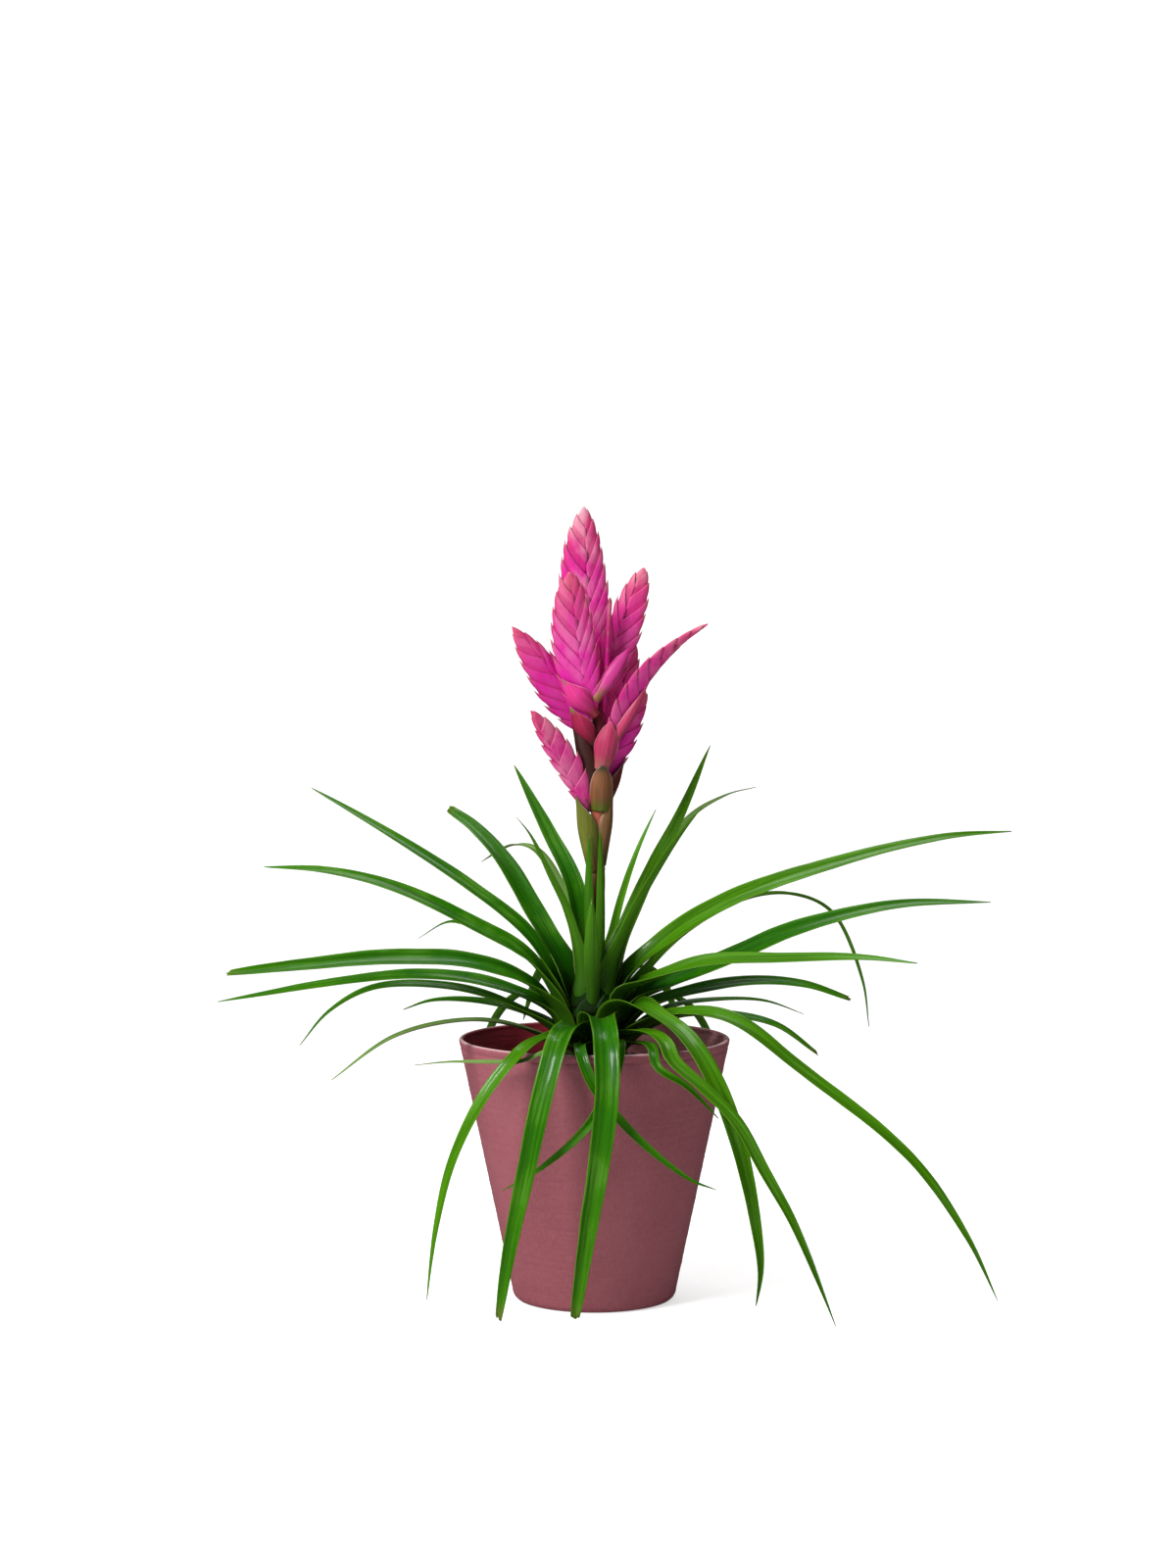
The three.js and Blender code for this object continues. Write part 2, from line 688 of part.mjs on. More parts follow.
// The mix with its bark chips, and a plain hole for the crown's plug.
function mixSolid() {
  let solid = mixBody();
  const draw = seeded(7);
  for (let i = 0; i < CHIP_COUNT; i += 1) {
    solid = solid.add(solidOf(barkChip(i, draw)));
  }
  const over = MIX_TOP + 3 * MIX_RELIEF;
  const hole = [
    [0, CROWN_FOOT - GAP],
    [CROWN_PLUG_RADIUS + GAP, CROWN_FOOT - GAP],
    [CROWN_PLUG_RADIUS + GAP, over],
    [0, over],
  ];
  return solid.subtract(solidOf(turned(hole, CROWN_SEGMENTS)));
}

// A pup: a small pointed shoot that leans out of the crown's foot.
function pupGeometry(index) {
  const pup = new THREE.ConeGeometry(PUP_RADIUS, PUP_LENGTH, 6);
  pup.rotateX(Math.PI / 2);
  pup.translate(0, 0, PUP_LENGTH / 2 - PUP_SUNK);
  pup.rotateY(THREE.MathUtils.degToRad(PUP_LEAN));
  pup.translate(CROWN_PLUG_RADIUS, 0, PUP_HEIGHT);
  return pup.rotateZ(THREE.MathUtils.degToRad(PUP_FIRST + index * PUP_STEP));
}

// The crown: a turned body with pups round its foot, cut clear of every leaf and of the stalk.
function crownSolid() {
  const profile = [
    [0, CROWN_FOOT],
    [CROWN_PLUG_RADIUS, CROWN_FOOT],
    ...CROWN_PROFILE,
    [CROWN_TOP_RADIUS, CROWN_TOP],
    [0, CROWN_TOP],
  ];
  let solid = solidOf(turned(profile, CROWN_SEGMENTS));
  for (let i = 0; i < PUP_COUNT; i += 1) {
    solid = solid.add(solidOf(pupGeometry(i)));
  }
  for (const leaf of LEAVES) {
    solid = solid.subtract(solidOf(leafGeometry(leaf, SLOT_GAP, LEAF_SLOT_RINGS)));
  }
  return solid.subtract(solidOf(stalkAxis(GAP)));
}

// The stalk's axis as a tapered tube through its points.
function stalkAxis(grow = 0) {
  const curve = new THREE.CatmullRomCurve3(STALK_ROUTE.map((p) => new THREE.Vector3(...p)));
  const section = new THREE.Shape();
  section.absarc(0, 0, 1, 0, Math.PI * 2);
  const tube = new THREE.ExtrudeGeometry(section, {
    extrudePath: curve,
    steps: STALK_STEPS,
    curveSegments: STALK_SIDES,
    bevelEnabled: false,
  });
  const position = tube.attributes.position;
  for (let i = 0; i < position.count; i += 1) {
    vertex.fromBufferAttribute(position, i);
    const share = nearestShare(curve, vertex);
    const centre = curve.getPointAt(share);
    const radius = THREE.MathUtils.lerp(STALK_RADIUS, STALK_TOP_RADIUS, share ** 1.5) + grow;
    vertex.sub(centre).setLength(radius).add(centre);
    const deeper = share === 0 ? grow : 0;
    position.setXYZ(i, vertex.x, vertex.y, vertex.z - deeper);
  }
  return tube;
}

// The step of the stalk's curve, as a share of its length, whose point is nearest to a place.
function nearestShare(curve, place) {
  let best = 0;
  let least = Infinity;
  for (let i = 0; i <= STALK_STEPS; i += 1) {
    const distance = curve.getPointAt(i / STALK_STEPS).distanceTo(place);
    if (distance < least) {
      least = distance;
      best = i / STALK_STEPS;
    }
  }
  return best;
}

// A clasping bract: a pointed scale that hugs the stalk from its foot to its tip.
function claspingBract({ foot, length, bearing, spread, tip }) {
  const turn = new THREE.Matrix4().makeRotationZ(THREE.MathUtils.degToRad(bearing));
  const points = [
    [3.6, 0, foot],
    [tip, 0, foot + length],
  ];
  for (const side of [-1, 1]) {
    points.push([-2, 3 * side, foot + 2]);
    points.push([0, 0.85 * spread * side, foot + 0.4 * length]);
    points.push([spread, 2.2 * side, foot + 0.45 * length]);
  }
  return hull(points.map((p) => new THREE.Vector3(...p).applyMatrix4(turn).toArray()));
}

// How far a spike's section reaches in a direction, where its half width is this.
function sectionReach(place, direction, half) {
  const right = new THREE.Vector3().setFromMatrixColumn(place, 0);
  const back = new THREE.Vector3().setFromMatrixColumn(place, 1);
  return Math.hypot(direction.dot(right) * half, direction.dot(back) * spikeDepth(half));
}

// The bract under a side spike: it clasps the stalk and lies along the spike's outer side.
function primaryBract(spike) {
  const place = spikePlace(spike);
  const from = new THREE.Vector3(...spike.from);
  const along = new THREE.Vector3().setFromMatrixColumn(place, 2);
  const below = new THREE.Vector3(along.x, along.y, 0).normalize();
  below.addScaledVector(along, -below.dot(along)).normalize();
  const across = new THREE.Vector3().crossVectors(along, below);
  const half = spikeHalf(spike, 0.12);
  const under = sectionReach(place, below, half) + PRIMARY_CLEARANCE;
  const beside = sectionReach(place, across, half) + PRIMARY_CLEARANCE;
  const at = (up, out, side) =>
    from.clone().addScaledVector(along, up).addScaledVector(below, out).addScaledVector(across, side);
  const points = [at(PRIMARY_LENGTH, under + 1, 0)];
  for (const side of [-1, 1]) {
    points.push(at(8, under, side * 2.4));
    points.push(at(8, 0, side * beside));
    points.push(at(-2, 2.6, side * 3.4));
    points.push(at(0, 0, side * 2.4).add(new THREE.Vector3(0, 0, -PRIMARY_FOOT_DROP)));
  }
  return hull(points.map((point) => point.toArray()));
}

// The stalk: axis, clasping bracts and one bract under each side spike, cut clear of the spikes.
function stalkSolid(spikeGeometries) {
  let solid = solidOf(stalkAxis());
  for (const item of STALK_BRACTS) {
    solid = solid.add(claspingBract(item));
  }
  for (const spike of SPIKES.slice(1)) {
    solid = solid.add(primaryBract(spike));
  }
  for (const geometry of spikeGeometries) {
    solid = solid.subtract(spikeRoom(geometry));
  }
  return solid;
}

const spikeGeometries = SPIKES.map(placedSpike);
const plant = new THREE.Group();
plant.add(part("pot", potGeometry(), POT_ROSE));
plant.add(part("potting_mix", geometryOf(mixSolid()), BARK_BROWN));
plant.add(part("crown", geometryOf(crownSolid()), DEEP_GREEN));
LEAVES.forEach((leaf, i) => {
  const name = "leaf_" + String(i + 1).padStart(2, "0");
  plant.add(part(name, leafGeometry(leaf), leaf.dull ? GREY_GREEN : LEAF_GREEN));
});
plant.add(part("flower_stalk", geometryOf(stalkSolid(spikeGeometries)), STALK_ROSE));
spikeGeometries.forEach((geometry, i) => {
  plant.add(part("spike_" + (i + 1), geometry, SPIKE_PINK));
});

export default plant;
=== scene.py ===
"""Looks of a potted tillandsia: strap leaves, folded bracts in two ranks, bark mix and a matte cover pot.

Lengths are in millimetres unless a name says otherwise, and MM turns them into the scene's metres.
The pot stands at the origin, the plant's front looks along -Y, and +X is to its right.
"""

import logging
import math
import random
from collections.abc import Sequence
from dataclasses import dataclass, field
from enum import Enum
from functools import cache

import bpy
import numpy as np
from mathutils import Matrix, Vector, noise


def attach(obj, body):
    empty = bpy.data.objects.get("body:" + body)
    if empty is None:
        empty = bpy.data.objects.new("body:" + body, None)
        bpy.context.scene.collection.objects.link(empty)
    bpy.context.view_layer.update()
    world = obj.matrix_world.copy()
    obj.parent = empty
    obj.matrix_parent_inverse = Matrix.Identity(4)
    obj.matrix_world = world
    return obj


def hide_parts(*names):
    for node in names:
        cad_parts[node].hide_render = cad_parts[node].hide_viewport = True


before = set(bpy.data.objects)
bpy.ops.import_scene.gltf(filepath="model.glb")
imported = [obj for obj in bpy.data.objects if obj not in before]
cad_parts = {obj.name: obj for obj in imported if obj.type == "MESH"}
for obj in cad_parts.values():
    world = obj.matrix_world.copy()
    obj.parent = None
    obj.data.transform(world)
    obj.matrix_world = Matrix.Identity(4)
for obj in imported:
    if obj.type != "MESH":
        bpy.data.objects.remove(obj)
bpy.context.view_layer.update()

MM = 0.001
BODY = "root"

log = logging.getLogger("tillandsia")

Number = float | np.ndarray
Pair = tuple[float, float]
Triple = tuple[float, float, float]
Route = tuple[tuple[float, ...], ...]
Faces = list[tuple[int, ...]]
Socket = bpy.types.NodeSocket
NodeValue = Socket | float | Triple
NodeInputs = dict[str | int, NodeValue]
Marks = dict[str, np.ndarray]


# Small maths


def smooth_share(value: Number, low: float, high: float) -> Number:
    """Rises smoothly from 0 at low to 1 at high, and stays level outside them."""
    share = np.clip((value - low) / (high - low), 0.0, 1.0)
    return share * share * (3.0 - 2.0 * share)


def mix(start: Number, end: Number, share: Number) -> Number:
    """Runs evenly from start, at share 0, to end, at share 1."""
    return start + (end - start) * share


def halfway_stops(share: np.ndarray, stops: Triple) -> np.ndarray:
    """Runs smoothly from the first stop, through the second at half way, to the third.

    Args:
        share: Shares of the way.
        stops: The values at its start, middle and end.

    Returns:
        The value at each share.
    """
    first, middle, last = stops
    risen = first + (middle - first) * smooth_share(share, 0.0, 0.5)
    return risen + (last - middle) * smooth_share(share, 0.5, 1.0)


def unit(vector: np.ndarray) -> np.ndarray:
    """Scales a vector, or each row of an array of vectors, to length one."""
    return vector / np.maximum(np.linalg.norm(vector, axis=-1, keepdims=True), 1e-9)


def ripple(x: float, y: float, z: float) -> float:
    """Gives smooth noise between about -1 and 1 at a place, the same each run."""
    return noise.noise(Vector((x, y, z)))


def around(sides: int) -> np.ndarray:
    """Gives evenly spaced angles round a circle."""
    return np.arange(sides) / sides * math.tau


def compass(bearing: float) -> tuple[np.ndarray, np.ndarray]:
    """Gives the level directions along a bearing in degrees and a quarter turn past it."""
    east, north = math.cos(math.radians(bearing)), math.sin(math.radians(bearing))
    return np.array([east, north, 0.0]), np.array([-north, east, 0.0])


def triples(shape: tuple[int, ...], *parts: Number) -> np.ndarray:
    """Spreads three numbers or grids over a shape, and gives them as a grid of triples."""
    return np.stack([np.broadcast_to(part, shape) for part in parts], axis=-1)


def smooth_curve(points: np.ndarray, steps: int = 30) -> np.ndarray:
    """Runs a centripetal curve through some points.

    Args:
        points: The points that the curve passes through, one a row.
        steps: How many places each stretch gets.

    Returns:
        Close places along the curve, one a row.
    """
    ends = np.vstack([2 * points[0] - points[1], points, 2 * points[-1] - points[-2]])
    t = (np.arange(steps) / steps)[:, None]
    stretches = []
    for p0, p1, p2, p3 in zip(ends, ends[1:], ends[2:], ends[3:]):
        d0, d1, d2 = (max(math.sqrt(np.linalg.norm(b - a)), 1e-4) for a, b in ((p0, p1), (p1, p2), (p2, p3)))
        leave = ((p1 - p0) / d0 - (p2 - p0) / (d0 + d1) + (p2 - p1) / d1) * d1
        arrive = ((p2 - p1) / d1 - (p3 - p1) / (d1 + d2) + (p3 - p2) / d2) * d1
        cubic = (2 * p1 - 2 * p2 + leave + arrive) * t**3
        square = (-3 * p1 + 3 * p2 - 2 * leave - arrive) * t**2
        stretches.append(cubic + square + leave * t + p1)
    return np.vstack([*stretches, points[-1]])


def spaced(curve: np.ndarray, count: int) -> tuple[np.ndarray, np.ndarray, float]:
    """Picks evenly spaced places on a curve.

    Args:
        curve: Close places along it.
        count: How many places to pick.

    Returns:
        The places, the unit direction at each, and the curve's length.
    """
    run = np.concatenate([[0.0], np.cumsum(np.linalg.norm(np.diff(curve, axis=0), axis=1))])
    wanted = np.linspace(0.0, run[-1], count)
    places = np.stack([np.interp(wanted, run, curve[:, k]) for k in range(3)], axis=1)
    return places, unit(np.gradient(places, axis=0)), float(run[-1])


# Meshes


@dataclass
class MeshDraft:
    """Faces and per-vertex marks that are gathered before they become one object."""

    points: list[np.ndarray] = field(default_factory=list)
    faces: Faces = field(default_factory=list)
    marks: dict[str, list[np.ndarray]] = field(default_factory=dict)
    count: int = 0

    def add(self, points: np.ndarray, faces: Faces, marks: Marks) -> None:
        """Adds one closed shell.

        Args:
            points: Its vertices, one a row.
            faces: Its faces, as indices into points.
            marks: For each mark's name, three numbers a vertex.
        """
        self.faces.extend(tuple(i + self.count for i in face) for face in faces)
        self.points.append(points)
        for name, values in marks.items():
            self.marks.setdefault(name, []).append(values)
        self.count += len(points)

    def add_sheet(self, grid: np.ndarray, depth: Number, marks: Marks, under_mark: str = "") -> None:
        """Adds a thin sheet: a grid for its outer face and a second one under it, closed round the edge.

        Args:
            grid: Rows and columns of points; rows crossed with columns point out of the outer face.
            depth: The sheet's thickness, or its thickness at each point.
            marks: For each mark's name, rows and columns of three numbers.
            under_mark: A mark whose third number is 1 on the under face.
        """
        outward = unit(np.cross(np.gradient(grid, axis=0), np.gradient(grid, axis=1)))
        under = grid - outward * np.broadcast_to(depth, grid.shape[:2])[..., None]
        both = {name: np.concatenate([values.reshape(-1, 3)] * 2) for name, values in marks.items()}
        if under_mark:
            both[under_mark][under.size // 3 :, 2] = 1.0
        points = np.concatenate([grid.reshape(-1, 3), under.reshape(-1, 3)])
        self.add(points, sheet_faces(*grid.shape[:2]), both)

    def add_tube(self, rings: np.ndarray, marks: Marks) -> None:
        """Adds a closed body over rings of points, with a flat cap at both ends.

        Args:
            rings: Rings of points; each ring turns anticlockwise when seen from the last ring.
            marks: For each mark's name, rings of three numbers a point.
        """
        count, sides = rings.shape[:2]
        last = (count - 1) * sides
        faces: Faces = [tuple(reversed(range(sides)))]
        for start in range(0, last, sides):
            for k in range(sides):
                a, b = start + k, start + (k + 1) % sides
                faces.append((a, b, b + sides, a + sides))
        faces.append(tuple(range(last, last + sides)))
        self.add(rings.reshape(-1, 3), faces, {name: v.reshape(-1, 3) for name, v in marks.items()})

    def make(self, name: str, finish: "Finish", *replaced: str) -> None:
        """Turns the draft into an object that rides on the part and stands for its CAD nodes.

        Args:
            name: The object's name.
            finish: Its finish.
            *replaced: The CAD nodes that it stands for.
        """
        mesh = bpy.data.meshes.new(name)
        mesh.from_pydata((np.concatenate(self.points) * MM).tolist(), [], self.faces)
        mesh.update()
        for mark, values in self.marks.items():
            layer = mesh.attributes.new(mark, "FLOAT_VECTOR", "POINT")
            layer.data.foreach_set("vector", np.concatenate(values).astype(np.float32).ravel())
        mesh.polygons.foreach_set("use_smooth", [True] * len(mesh.polygons))
        mesh.materials.append(finish.make())
        piece = bpy.data.objects.new(name, mesh)
        bpy.context.collection.objects.link(piece)
        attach(piece, BODY)
        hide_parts(*replaced)
        log.info("%s: %d faces", name, len(mesh.polygons))


def sheet_faces(rows: int, columns: int) -> Faces:
    """Lists the faces of a closed sheet of two grids, outer then under.

    Args:
        rows: Rows of each grid.
        columns: Columns of each grid.

    Returns:
        Four-cornered faces that look outward.
    """
    under = rows * columns
    at = np.arange(under).reshape(rows, columns).tolist()
    faces, rim = [], []
    for r in range(rows - 1):
        for c in range(columns - 1):
            quad = (at[r][c], at[r + 1][c], at[r + 1][c + 1], at[r][c + 1])
            faces += [quad, tuple(under + i for i in reversed(quad))]
        rim += [(at[r + 1][0], at[r][0]), (at[r][-1], at[r + 1][-1])]
    for c in range(columns - 1):
        rim += [(at[0][c], at[0][c + 1]), (at[-1][c + 1], at[-1][c])]
    return faces + [(a, b, under + b, under + a) for a, b in rim]


# Shader nodes


class ShaderDesk:
    """Places and links the nodes of one material, world or node group."""

    def __init__(self, tree: bpy.types.NodeTree) -> None:
        """Keeps the tree that nodes go into."""
        self.tree = tree

    def node(self, kind: str, inputs: NodeInputs | None = None, **settings: object) -> bpy.types.Node:
        """Adds a node.

        Args:
            kind: The node's type name.
            inputs: Socket name or number, and the link or value that it gets.
            **settings: Properties of the node itself.

        Returns:
            The node.
        """
        made = self.tree.nodes.new(kind)
        for key, value in settings.items():
            setattr(made, key, value)
        for key, value in (inputs or {}).items():
            self.feed(made.inputs[key], value)
        return made

    def feed(self, socket: Socket, value: NodeValue) -> None:
        """Links a socket, or sets its value.

        Args:
            socket: The input socket.
            value: What it gets; a colour gets full opacity.
        """
        if isinstance(value, Socket):
            self.tree.links.new(value, socket)
        elif isinstance(value, tuple) and socket.type == "RGBA":
            socket.default_value = (*value, 1.0)
        else:
            socket.default_value = value

    def maths(self, operation: str, *values: NodeValue) -> Socket:
        """Adds a sum on some values and gives its result."""
        return self.node("ShaderNodeMath", dict(enumerate(values)), operation=operation).outputs[0]

    def rise(self, value: NodeValue, low: float, high: float, share: NodeValue = 1.0) -> Socket:
        """Gives a smooth mask that is 0 at low and the share at high.

        Args:
            value: The value that it follows.
            low: Where the mask starts to rise.
            high: Where it is full.
            share: How strong it is there.

        Returns:
            The mask.
        """
        inputs = {"Value": value, "From Min": low, "From Max": high}
        mask = self.node("ShaderNodeMapRange", inputs, interpolation_type="SMOOTHSTEP").outputs["Result"]
        return mask if share == 1.0 else self.maths("MULTIPLY", mask, share)

    def blend(self, share: NodeValue, a: NodeValue, b: NodeValue, kind: str = "MIX") -> Socket:
        """Mixes two colours and gives the result."""
        inputs = {"Factor": share, 6: a, 7: b}
        return self.node("ShaderNodeMix", inputs, data_type="RGBA", blend_type=kind).outputs[2]

    def mark(self, name: str) -> tuple[Socket, list[Socket]]:
        """Reads a mesh mark and gives it as a vector and as its three numbers."""
        vector = self.node("ShaderNodeAttribute", attribute_name=name).outputs["Vector"]
        return vector, list(self.node("ShaderNodeSeparateXYZ", {0: vector}).outputs)

    def stretched(self, place: NodeValue, *factors: NodeValue) -> Socket:
        """Scales a place's x, y and z, and leaves alone those whose factor is plain 1.

        Args:
            place: The place, as a vector.
            *factors: The factors of x, y and z.

        Returns:
            The scaled place.
        """
        parts = self.node("ShaderNodeSeparateXYZ", {0: place}).outputs
        scaled = [part if by == 1.0 else self.maths("MULTIPLY", part, by) for part, by in zip(parts, factors)]
        return self.node("ShaderNodeCombineXYZ", dict(enumerate(scaled))).outputs[0]


class SkinDesk(ShaderDesk):
    """A desk on a new material, with its main shader."""

    def __init__(self, material: bpy.types.Material) -> None:
        """Turns the material's nodes on and finds its main shader.

        Args:
            material: The new material.
        """
        material.use_nodes = True
        super().__init__(material.node_tree)
        self.shader = self.tree.nodes["Principled BSDF"]

    def plain(self, **values: float) -> None:
        """Sets values that are the same all over on the shader's own sockets, such as Coat_Weight."""
        for name, value in values.items():
            self.shader.inputs[name.replace("_", " ")].default_value = value

    def patches(self, per_metre: float, flatten: float = 1.0) -> Socket:
        """Places the shared mottle and gives its mask."""
        inputs = {"Patches per metre": per_metre, "Flatten": flatten}
        return self.node("ShaderNodeGroup", inputs, node_tree=soft_mottle()).outputs[0]

    def fibres(self, place: Socket, across: float, along: float) -> tuple[Socket, Socket]:
        """Places the shared fibres and gives their streaks and their veins."""
        inputs = {"Place": place, "Across": across, "Along": along}
        return tuple(self.node("ShaderNodeGroup", inputs, node_tree=fine_fibres()).outputs[:2])

    def surface(self, colour: Socket, uneven: Socket, spread: float, least: float) -> None:
        """Feeds the shader its colour, and a roughness that runs from least to least plus spread."""
        self.feed(self.shader.inputs["Base Color"], colour)
        self.feed(self.shader.inputs["Roughness"], self.maths("MULTIPLY_ADD", uneven, spread, least))

    def relief(self, height: Socket, distance: float, strength: float) -> None:
        """Feeds the shader a bump of a height, with its distance in metres."""
        bump = self.node("ShaderNodeBump", {"Height": height, "Distance": distance, "Strength": strength})
        self.feed(self.shader.inputs["Normal"], bump.outputs[0])


def new_group(name: str, vectors: list[str], numbers: list[str], outputs: list[str]) -> ShaderDesk:
    """Starts a shader node group with named sockets.

    Args:
        name: The group's name.
        vectors: Names of its vector inputs.
        numbers: Names of its number inputs.
        outputs: Names of its outputs, which are numbers.

    Returns:
        A desk on the group.
    """
    tree = bpy.data.node_groups.new(name, "ShaderNodeTree")
    sockets = (("INPUT", "Vector", vectors), ("INPUT", "Float", numbers), ("OUTPUT", "Float", outputs))
    for side, kind, labels in sockets:
        for label in labels:
            tree.interface.new_socket(label, in_out=side, socket_type="NodeSocket" + kind)
    return ShaderDesk(tree)


@cache
def fine_fibres() -> bpy.types.NodeTree:
    """Makes the shared effect of long fine streaks that follow a blade or a bract.

    Returns:
        The node group, made once, with broad streaks and fine veins.
    """
    desk = new_group("fine_fibres", ["Place"], ["Across", "Along"], ["Streaks", "Veins"])
    given = desk.node("NodeGroupInput").outputs
    place = desk.stretched(given["Place"], given["Across"], given["Along"], 1.0)
    streaks = desk.node("ShaderNodeTexNoise", {"Vector": place, "Scale": 0.55, "Detail": 3.0}).outputs[0]
    veins = desk.node("ShaderNodeTexNoise", {"Vector": place, "Scale": 1.9, "Detail": 2.0}).outputs[0]
    desk.node("NodeGroupOutput", {"Streaks": streaks, "Veins": veins})
    return desk.tree


@cache
def soft_mottle() -> bpy.types.NodeTree:
    """Makes the shared effect of soft uneven patches over a piece, from its place in space.

    Returns:
        The node group, made once, with a mask of the patches.
    """
    desk = new_group("soft_mottle", [], ["Patches per metre", "Flatten"], ["Patches"])
    given = desk.node("NodeGroupInput").outputs
    space = desk.node("ShaderNodeTexCoord").outputs["Object"]
    place = desk.stretched(space, 1.0, 1.0, given["Flatten"])
    inputs = {"Vector": place, "Scale": given["Patches per metre"], "Detail": 4.0}
    desk.node("NodeGroupOutput", {"Patches": desk.node("ShaderNodeTexNoise", inputs).outputs[0]})
    return desk.tree


# Finishes


@dataclass(frozen=True)
class Finish:
    """A finish: its material's name, the record's slot, and the colours and paint() of its own class."""

    name: str
    slot: str

    @cache
    def make(self) -> bpy.types.Material:
        """Builds the finish's material the first time, and gives it.

        Returns:
            The material.
        """
        material = bpy.data.materials.new(self.name)
        self.paint(SkinDesk(material))
        return material

    def paint(self, desk: SkinDesk) -> None:
        """Places the material's nodes; each kind of finish has its own."""
        raise NotImplementedError


@dataclass(frozen=True)
class LeafFinish(Finish):
    """Colours and gloss of the strap leaves' skin."""

    # base: the dark green of the painted shade at a blade's root; it also darkens the streaks
    base: Triple
    deep: Triple
    mid: Triple
    bright: Triple
    margin: Triple
    underside: Triple
    least_rough: float
    coat: float
    dry: Triple = (0.15, 0.17, 0.03)
    # The colour of the painted sheen: pale streaks that stand for glossy highlights along the blade.
    painted_sheen: Triple = (0.16, 0.33, 0.09)

    def paint(self, desk: SkinDesk) -> None:
        """Paints leaf skin: green by tone, darkened at the root by painted shade, pale at the margins, finely
        veined, with pale streaks of painted sheen.

        Args:
            desk: The desk on the new material.
        """
        _, (across, along, under) = desk.mark("leaf_place")
        _, (tone, dryness, _) = desk.mark("leaf_tone")
        fibre, (_, run, _) = desk.mark("leaf_fibre")
        streaks, veins = desk.fibres(fibre, across=1.0, along=0.035)
        patches = desk.patches(per_metre=38.0)
        lower = desk.blend(desk.rise(tone, 0.0, 0.5), self.deep, self.mid)
        toned = desk.blend(desk.rise(tone, 0.5, 1.0), lower, self.bright)
        colour = desk.blend(desk.rise(along, 0.3, 0.95, 0.4), toned, self.bright)
        light = desk.blend(desk.rise(patches, 0.42, 0.62), colour, desk.blend(0.5, colour, self.bright))
        lined = desk.blend(desk.rise(streaks, 0.36, 0.66, 0.7), light, desk.blend(0.6, colour, self.base))
        # Painted sheen: pale streaks where the mottle and the streaks meet, a painted highlight along the
        # blade.
        sheen_mask = desk.rise(patches, 0.5, 0.66, desk.rise(streaks, 0.56, 0.4))
        sheened = desk.blend(desk.maths("MULTIPLY", sheen_mask, 0.14), lined, self.painted_sheen)
        # Painted shade: the first 50 mm of a blade darken towards its root, where it lies in the shade of the
        # crowded leaves.
        root_shaded = desk.blend(desk.rise(run, 50.0, 10.0), sheened, self.base)
        edge = desk.maths("ABSOLUTE", across)
        bordered = desk.blend(desk.rise(edge, 0.84, 1.0, 0.4), root_shaded, self.margin)
        turned = desk.blend(desk.maths("MULTIPLY", under, 0.55), bordered, self.underside)
        dried = desk.blend(desk.rise(along, 0.95, 0.995, dryness), turned, self.dry)
        desk.surface(dried, streaks, spread=0.22, least=self.least_rough)
        desk.plain(Specular_IOR_Level=0.1, Coat_Weight=self.coat, Coat_Roughness=0.14)
        height = desk.maths("ADD", veins, desk.maths("MULTIPLY", streaks, 1.6))
        desk.relief(height, distance=0.0007, strength=0.5)


@dataclass(frozen=True)
class BractFinish(Finish):
    """Colours and gloss of the flower spikes' folded bracts."""

    body: Triple = (0.74, 0.006, 0.36)
    crimson: Triple = (0.50, 0.005, 0.13)
    salmon: Triple = (0.60, 0.075, 0.135)
    # pale: the colour of the painted sheen and of the painted highlight on each margin
    pale: Triple = (0.76, 0.33, 0.43)
    tan: Triple = (0.42, 0.16, 0.085)
    # shade: the colour of the painted shade on spikes and cores that lie in shadow
    shade: Triple = (0.13, 0.006, 0.016)

    def paint(self, desk: SkinDesk) -> None:
        """Paints bract skin: magenta below, salmon above, with painted sheen and a painted highlight on each
        margin, and painted shade: a thin dark line where a bract lies in the shadow of the one below it, and
        darkening where a spike lies in shadow.

        Args:
            desk: The desk on the new material.
        """
        _, (fold, rise, above) = desk.mark("bract_place")
        _, (rose, sheen_strength, gloom) = desk.mark("bract_tint")
        fibre, _ = desk.mark("bract_fibre")
        streaks, veins = desk.fibres(fibre, across=1.6, along=0.1)
        patches = desk.patches(per_metre=90.0, flatten=0.7)
        body = desk.blend(desk.rise(streaks, 0.38, 0.68, 0.3), self.body, self.crimson)
        keeled = desk.blend(desk.rise(fold, 0.25, 0.0, 0.5), body, self.crimson)
        salmon = desk.blend(desk.maths("MULTIPLY", rose, 0.85), keeled, self.salmon)
        # Painted sheen: pale patches over the bract that stand for a highlight.
        sheen = desk.maths("MULTIPLY", sheen_strength, desk.rise(patches, 0.38, 0.66))
        highlighted = desk.blend(sheen, salmon, self.pale)
        # Painted highlight: a thin pale line along each bract's margin.
        edge_highlighted = desk.blend(desk.rise(rise, 0.97, 1.0, 0.22), highlighted, self.pale)
        pointed = desk.rise(rise, 0.86, 1.0, desk.rise(fold, 0.3, 0.0))
        tipped = desk.blend(desk.maths("MULTIPLY", pointed, 0.6), edge_highlighted, self.tan)
        # Painted shade: spikes that lie in shadow, and their lower parts, are darkened.
        shadowed = desk.blend(gloom, tipped, self.shade)
        # Painted shadow: a dark crimson band on each bract just above the margin of the one below it.
        joint_shadowed = desk.blend(desk.rise(above, 0.8, 0.1, 0.45), shadowed, self.crimson)
        desk.surface(joint_shadowed, patches, spread=0.25, least=0.3)
        desk.plain(Specular_IOR_Level=0.25, Coat_Weight=0.1, Coat_Roughness=0.25)
        desk.relief(desk.maths("ADD", veins, streaks), distance=0.0003, strength=0.5)


